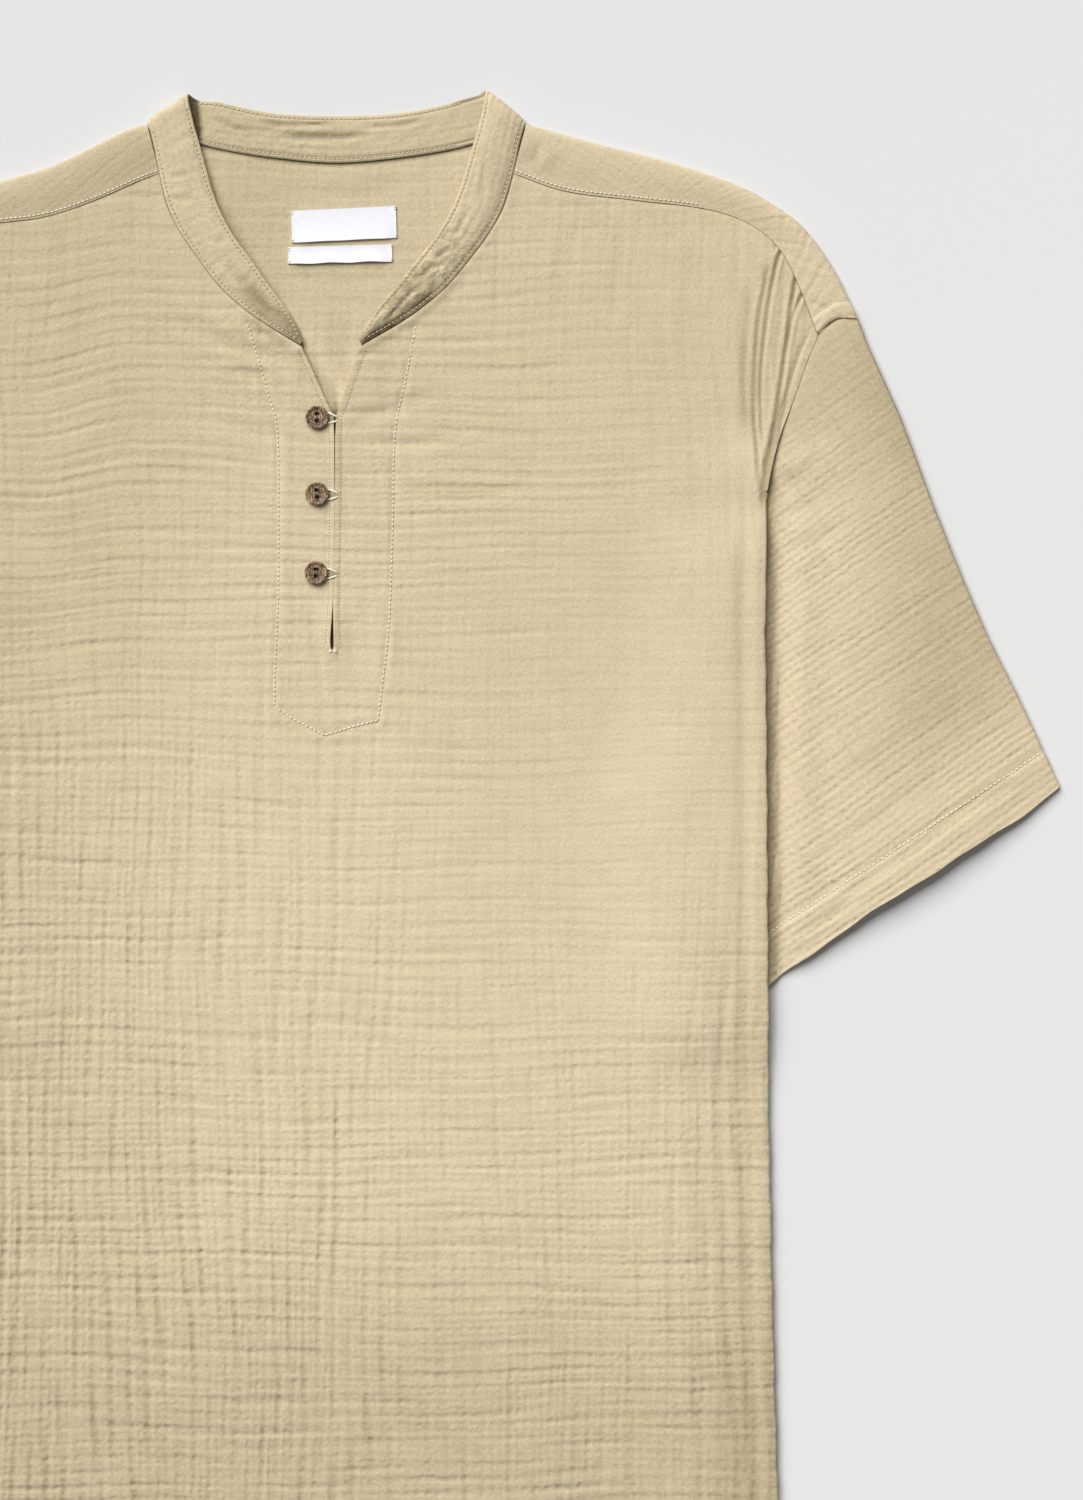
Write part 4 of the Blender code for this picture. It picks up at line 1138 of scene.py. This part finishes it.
def plain_finish(name, light, dark, scale, roughness):
    """A material of two colours that a fine noise mixes, with the same noise as bump."""
    made, start = new_finish(name)
    noise = start.add("ShaderNodeTexCoord", None, None, 3).noise(scale, 3, 0.6)
    colour = (2.2 * noise - 0.6).clamped().mixed(light, dark)
    return finished(made, colour, {"Roughness": roughness}, noise, 0.6, 0.2)


thread_finish = plain_finish("cream_thread", (0.97, 0.91, 0.76, 1), (0.85, 0.77, 0.58, 1), 2600, 0.75)
# Needle holes are flat dark discs, painted shade of the holes.
hole_shade_finish = plain_finish("needle_hole_shade", (0.24, 0.18, 0.09, 1), (0.10, 0.07, 0.03, 1), 2600, 0.95)


def sewn(name, pieces, runs, pitch=STITCH, shade_discs=True, threads=True):
    """Stitches on these pieces. A run is a line on the laid shirt, and 1 for the top side or -1 for below.
    Where the thread has sunk into the cloth, only the holes show."""
    points, faces = [], []
    for piece in pieces:
        start = len(points)
        points += [v.co / MM for v in piece.data.vertices]
        faces += [[i + start for i in p.vertices] for p in piece.data.polygons]
    surface = BVHTree.FromPolygons(points, faces)

    def height(x, y, side):
        hit = surface.ray_cast(Vector((x, y, 40 * side)), Vector((0, 0, -side)))[0]
        return None if hit is None else hit.z

    verts, polygons, shade_disc_places = [], [], []
    for line, side in runs:
        fine = along(line, even(200))
        length = np.linalg.norm(np.diff(fine, axis=0), axis=1).sum()
        count = max(1, round(length / pitch))
        shares = (np.arange(count)[:, None] + STITCH_SHARES).ravel() / count
        for stitch in along(line, shares).reshape(count, -1, 2):
            heights = [height(x, y, side) for x, y in stitch]
            if None in heights or max(heights) - min(heights) > 1.2:
                continue
            run = stitch[-1] - stitch[0]
            run /= np.linalg.norm(run)
            # A dark disc of painted shade for the needle hole at the stitch's start.
            if shade_discs:
                shade_disc_places.append((*(stitch[0] - 0.1 * pitch * run), max(heights[0] + side * 0.09, 0.03)))
            if not threads:
                continue
            first = len(verts)
            for (x, y), z, lift, size in zip(stitch, heights, STITCH_LIFT, STITCH_ROUND):
                for a in (0, 0.4 * pi, 0.8 * pi, 1.2 * pi, 1.6 * pi):
                    over, up = THREAD * size * cos(a), THREAD * size * sin(a)
                    top = z + side * lift + up
                    verts.append((x - run[1] * over, y + run[0] * over, max(top, 0.02)))
            for k in range(4):
                for j in range(5):
                    a, b = first + 5 * k + j, first + 5 * k + (j + 1) % 5
                    polygons.append((a, b, b + 5, a + 5))
            polygons += [tuple(range(first + 4, first - 1, -1)), tuple(range(first + 20, first + 25))]
    thread_count = len(polygons)
    for x, y, z in shade_disc_places:
        first = len(verts)
        verts += [(x + HOLE * cos(a), y + HOLE * sin(a), z) for a in np.arange(6) * pi / 3]
        polygons.append(tuple(range(first, first + 6)))
    made = made_of(name, verts, polygons, thread_finish, hole_shade_finish)
    for number, polygon in enumerate(made.data.polygons):
        polygon.material_index = int(number >= thread_count)
    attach(made, "root")
    return made


def both_sides(line):
    """A line of the even cut as laid, on the right and on the left."""
    points = np.array(line, float)
    return [laid(points), laid(points * (-1, 1))]


opening = np.array([(r.half_gap, r.y) for r in SLIT[2:]] + VEE[1:])
armhole = sideways(along(FRONT_ARMHOLE, 0.4 + 0.6 * even(8)), -4.9)
front_runs = FACING_EDGES + both_sides([(0, HEM_Y + HEM_DEPTH), (237, HEM_Y + HEM_DEPTH)])
tack = [[(-2.7, 88.9), (3.2, 88.7)], [(-2.4, 88.2), (3, 88)], [(-2.6, 87.5), (3.1, 87.4)]]
sewn("front_stitches", [front], [(line, 1) for line in front_runs])
sewn("slit_tack", [front], [(line, 1) for line in tack], 3, False)
sunk_runs = [laid(sideways(opening, 3.2)), laid(sideways(opening, 2.6) * (-1, 1)), *both_sides(armhole)]
sewn("sunk_stitches", [front], [(line, 1) for line in sunk_runs], 1.7, threads=False)

shoulder_seam = along(SHOULDER_SEAM, even(20))
end_seam = strip_end(even(8))
back_runs = [(line, 1) for line in both_sides(sideways(shoulder_seam[:11], -1.5))]
back_runs += [(line, -1) for line in both_sides([(0, HEM_Y + HEM_DEPTH), (236, HEM_Y + HEM_DEPTH)])]
sewn("back_stitches", [back], back_runs)
end_runs = [(line, 1) for line in both_sides(sideways(end_seam, -8.6))]
sewn("strip_end_stitches", [back], end_runs, 1.5, threads=False)
seams = [sideways(shoulder_seam, 0.3), sideways(FRONT_ARMHOLE[1:], 0.3), sideways(end_seam, 0.5)]
seam_runs = [(line, 1) for seam in seams for line in both_sides(seam)]
sewn("seam_hole_shade", [front, back, *sleeves], seam_runs, 0.95, threads=False)

cuff = HEM_START + np.array([(s * 208 - 3) * HEM_RUN for s in even(6)])
cuff = cuff + SLEEVE_HEM_DEPTH * np.array([-HEM_RUN[1], HEM_RUN[0]])
for sleeve, side in zip(sleeves, (1, -1)):
    line = laid(cuff * (side, 1))
    sewn(sleeve.name.replace("cloth", "stitches"), [sleeve], [(line, 1), (line, -1)], 2.8)

width = collar_points[-1, :, :2] - collar_points[0, :, :2]
inset = BAND_EDGE / np.maximum(np.linalg.norm(width, axis=1), 2 * BAND_EDGE)[:, None]
low_edge = laid(collar_points[0, :, :2] + inset * width)
high_edge = laid(collar_points[-1, :, :2] - inset * width)
collar_runs = []
for edge, inner_x in ((low_edge, 71), (high_edge, 73)):
    behind = edge[turn_left:turn_right]
    collar_runs += [(edge[3:turn_left - 3][::4], 1), (edge[turn_right + 3:-3][::4], 1)]
    collar_runs += [(behind[np.abs(behind[:, 0]) < inner_x][::4], 1), (behind[3:-3][::4], -1)]
matching = plain_finish("matching_thread", (0.78, 0.66, 0.45, 1), (0.6, 0.5, 0.32, 1), 2600, 0.75)
sewn("collar_stitches", [collar], collar_runs).data.materials[0] = matching

corner_runs = []
for row in LABELS:
    middle = laid((row.x, row.y))
    c, s = cos(radians(row.turn)), sin(radians(row.turn))
    for a in (-1, 1):
        for b in (-1, 1):
            for slip in (0, 1.1):
                u, v = a * (row.width / 2 - 0.2), b * (row.height / 2 - 0.5 - slip)
                start = middle + (c * u - s * v, s * u + c * v)
                corner_runs.append(([start - (a * 1, 0), start + (a * 0.9, 0)], 1))
sewn("label_stitches", [back, *labels], corner_runs, 2.5, False)

# ----------------------------------------------------------------------------------------------- the loops
# Three thin loops of twisted cotton cord, caught in the right edge of the slit. Each passes round the shank
# of a button.

LOOP_RADIUS = 0.62
LOOP_Z = 3.45
BUTTON_X = -8.6
BUTTON_FOOT = 3.8


def twisted(name, route, radius, finish, sides=12, step=0.3, lay=2.6):
    """A two-ply cord along a smooth route in mm."""
    rough = along(route, even(100))
    length = np.linalg.norm(np.diff(rough, axis=0), axis=1).sum()
    line = along(route, even(round(length / step)))
    run = np.gradient(line, axis=0)
    run /= np.linalg.norm(run, axis=1)[:, None]
    over = np.cross(run, (0, 0, 1))
    over /= np.maximum(np.linalg.norm(over, axis=1), 1e-6)[:, None]
    up = np.cross(over, run)
    angle = np.arange(sides) * 2 * pi / sides
    wound = angle[None, :] - (np.arange(len(line)) * step * 2 * pi / lay)[:, None]
    size = radius * (0.72 + 0.28 * np.abs(np.cos(wound)))
    ring = line[:, None] + size[..., None] * (
        np.cos(angle)[None, :, None] * over[:, None] + np.sin(angle)[None, :, None] * up[:, None]
    )
    faces = []
    for k in range(len(line) - 1):
        for j in range(sides):
            a, b = k * sides + j, k * sides + (j + 1) % sides
            faces.append((a, b, b + sides, a + sides))
    faces += [tuple(range(sides - 1, -1, -1)), tuple(range((len(line) - 1) * sides, len(line) * sides))]
    made = made_of(name, ring.reshape(-1, 3), faces, finish)
    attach(made, "root")
    return made


for number, y in enumerate(BUTTON_Y, start=1):
    route = [(1.5, 1.1, 2.8), (0.9, 1.2, 3.5), (-0.6, 1.9, 3.8), (-2.2, 2.6, 3.7), (-4.2, 2.7, LOOP_Z)]
    turns = [radians(a) for a in (20, 60, 90, 120, 160)]
    route += [(BUTTON_X + 1.2 - 1.7 * sin(a), 1.6 * cos(a), LOOP_Z) for a in turns]
    route += [(-4.2, -2.3, LOOP_Z), (-2.2, -2.3, 3.7), (-0.6, -1.8, 3.8), (0.9, -1.3, 3.5), (1.5, -1.2, 2.8)]
    route = [(*laid((x, y + off)), z) for x, off, z in route]
    loop = twisted(f"loop_{number}_cord", route, LOOP_RADIUS, thread_finish)
    stands_for(loop, f"loop_{number}")

# --------------------------------------------------------------------------------------------- the buttons
# Three two-hole buttons turned from coconut shell, mottled brown, with a raised rim and a groove for the
# thread. Each is sewn on with two strands.

BUTTON_RADIUS = 6.2
BUTTON_WALL = 2
BUTTON_HOLE = 1.25
HOLE_APART = 1.75
HOLE_DEPTH = 1.5


def coconut(name):
    """Pale tan speckles and short dark fibres in brown shell."""
    made, start = new_finish(name)
    place = start.add("ShaderNodeTexCoord", None, None, 3)
    long = start.add("ShaderNodeMapping", None, {0: place, 2: (0, 0, 0.6), 3: (1, 0.28, 1)})
    specks, cloud = place.noise(1100, 5, 0.7), place.noise(260, 2)
    fibres = long.noise(1500, 3, 0.6)
    share = (5 * specks + 3.4 * fibres + 1.2 * cloud - 4.6).clamped()
    colour = share.mixed((0.075, 0.036, 0.014, 1), (0.56, 0.385, 0.215, 1))
    constants = {"Roughness": 0.5, "Coat Weight": 0.15, "Coat Roughness": 0.4}
    return finished(made, colour, constants, 0.5 * specks + 0.5 * fibres, 0.7, 0.3)


def turned_button():
    """One button at the origin, its back on the ground plane."""

    def cylinder(vertices, radius, depth, y, z):
        bpy.ops.object.select_all(action="DESELECT")
        bpy.ops.mesh.primitive_cylinder_add(
            vertices=vertices, radius=radius * MM, depth=depth * MM, location=(0, y * MM, z * MM)
        )
        return bpy.context.object

    made = cylinder(56, BUTTON_RADIUS, BUTTON_WALL, 0, BUTTON_WALL / 2)
    bpy.ops.object.transform_apply(location=True, rotation=True, scale=True)
    bpy.ops.object.mode_set(mode="EDIT")
    bpy.ops.mesh.select_mode(type="FACE")
    bpy.ops.mesh.select_all(action="DESELECT")
    bpy.ops.object.mode_set(mode="OBJECT")
    for polygon in made.data.polygons:
        polygon.select = polygon.normal.z > 0.9
    bpy.ops.object.mode_set(mode="EDIT")
    bpy.ops.mesh.inset(thickness=1 * MM, depth=0)
    bpy.ops.mesh.inset(thickness=0.5 * MM, depth=-0.4 * MM)
    bpy.ops.object.mode_set(mode="OBJECT")
    rounded = made.modifiers.new("rounded", "BEVEL")
    rounded.width = 0.55 * MM
    rounded.segments = 3
    rounded.limit_method = "ANGLE"
    rounded.angle_limit = radians(25)
    bpy.ops.object.modifier_apply(modifier="rounded")
    cutters = [cylinder(24, BUTTON_HOLE, 2 * HOLE_DEPTH, y, BUTTON_WALL) for y in (-HOLE_APART, HOLE_APART)]
    bpy.ops.object.select_all(action="DESELECT")
    bpy.ops.mesh.primitive_cube_add(
        size=1,
        scale=(0.9 * MM, 2 * HOLE_APART * MM, 0.5 * MM),
        location=(0, 0, (BUTTON_WALL - 0.4) * MM),
    )
    cutters.append(bpy.context.object)
    bpy.ops.object.select_all(action="DESELECT")
    made.select_set(True)
    bpy.context.view_layer.objects.active = made
    for cutter in cutters:
        hole = made.modifiers.new("hole", "BOOLEAN")
        hole.operation = "DIFFERENCE"
        hole.object = cutter
        bpy.ops.object.modifier_apply(modifier=hole.name)
        bpy.data.objects.remove(cutter)
    # The hole walls take the near-black material, painted shade of the holes' depth.
    for polygon in made.data.polygons:
        x, y, z = polygon.center / MM
        from_hole = np.hypot(x, abs(y) - HOLE_APART)
        polygon.material_index = int(from_hole < BUTTON_HOLE + 0.02 and z < BUTTON_WALL - 0.5)
    bpy.ops.object.shade_smooth_by_angle(angle=radians(35))
    return made


shell_finish = coconut("mottled_coconut")
brown_thread = plain_finish("brown_thread", (0.32, 0.24, 0.18, 1), (0.16, 0.11, 0.08, 1), 2600, 0.8)
# Near-black painted shade for the walls of the buttons' holes.
button_hole_shade_finish = plain_finish("button_hole_shade", (0.03, 0.016, 0.008, 1), (0.012, 0.007, 0.004, 1), 2600, 0.9)
first_button = turned_button()
for finish in (shell_finish, button_hole_shade_finish):
    first_button.data.materials.append(finish)
for number, y in enumerate(BUTTON_Y, start=1):
    x, y = laid((BUTTON_X - 0.9, y + 0.6))
    button = added(f"button_{number}_shell", first_button.data.copy())
    turn = Matrix.Rotation(radians((0, 4, -3)[number - 1]), 4, "Z")
    button.data.transform(Matrix.Translation(Vector((x, y, BUTTON_FOOT)) * MM) @ turn)
    stands_for(button, f"button_{number}")
    top = BUTTON_FOOT + BUTTON_WALL - 0.95
    for strand, aside in enumerate((-0.22, 0.22), start=1):
        way = [(-1.15, -0.9), (-0.95, -0.3), (0, 0.1), (0.95, -0.3), (1.15, -0.9)]
        route = [(x + aside, y + off, top + z) for off, z in way]
        thread = twisted(f"button_{number}_thread_{strand}", route, 0.26, brown_thread, 8, 0.2, 1.4)
bpy.data.objects.remove(first_button)

# ----------------------------------------------------------------------------------------------- the stage
# A pale, even studio surface under the shirt, lit softly from the upper left, and the camera straight above.

PICTURE_SIZE = (1083, 1500)
MM_PER_PIXEL = 0.54
VIEW_CENTRE = (112.6, 34.6)
CAMERA_HEIGHT = 2.4
SENSOR = 36

LAMP_SIZE = 9
LAMP_PLACE = Vector((-4.4, 7.1, 8.3))
LAMP_WAY = Vector((0.05, 0, 0)) - LAMP_PLACE
LAMP_TONE = 1.014  # what the lamp gives a white floor
SKY = 0.16
FLOOR_TONE = 0.924


def sweep(name):
    """Matt paint, a little paler away from the lamp, so that the floor looks even."""
    made, start = new_finish(name)
    place = start.add("ShaderNodeTexCoord", None, None, 3)
    x, y = place.parts()
    speckle = place.noise(900, 2)
    dx, dy = x - LAMP_PLACE.x, y - LAMP_PLACE.y
    far = (dx * dx + dy * dy + LAMP_WAY.z**2) * (1 / LAMP_WAY.length_squared)
    facing = (dx * LAMP_WAY.x + dy * LAMP_WAY.y + LAMP_WAY.z**2) * (1 / LAMP_WAY.length_squared)
    tone = FLOOR_TONE / (LAMP_TONE * facing / (far * far) + SKY)
    tone = tone.maths("MINIMUM", tone, 0.94) + 0.01 * (speckle - 0.5)
    colour = start.add("ShaderNodeCombineColor", None, {0: tone, 1: tone, 2: tone})
    return finished(made, colour, {"Roughness": 0.95, "Specular IOR Level": 0})


bpy.ops.object.select_all(action="DESELECT")
bpy.ops.mesh.primitive_plane_add(size=6)
floor = bpy.context.object
floor.name = "floor"
floor.data.transform(Matrix.Translation((0, 0, -0.0001)))
floor.data.materials.append(sweep("pale_surface"))

lamp = bpy.data.lights.new("lamp", "AREA")
lamp.size = LAMP_SIZE
lamp.energy = LAMP_TONE * pi * pi * LAMP_WAY.length**2 / (-LAMP_WAY.normalized().z)
softbox = added("lamp", lamp)
softbox.location = LAMP_PLACE
softbox.rotation_euler = LAMP_WAY.to_track_quat("-Z", "Y").to_euler()

world = bpy.data.worlds.new("studio")
world.use_nodes = True
sky = world.node_tree.nodes["Background"].inputs
sky["Color"].default_value = (1, 1, 1, 1)
sky["Strength"].default_value = SKY
bpy.context.scene.world = world
bpy.context.scene.view_settings.view_transform = "Standard"

lens = bpy.data.cameras.new("camera")
lens.sensor_width = SENSOR
lens.lens = SENSOR * CAMERA_HEIGHT / (PICTURE_SIZE[1] * MM_PER_PIXEL * MM)
camera = added("camera", lens)
camera.location = (VIEW_CENTRE[0] * MM, VIEW_CENTRE[1] * MM, CAMERA_HEIGHT)
bpy.context.scene.camera = camera
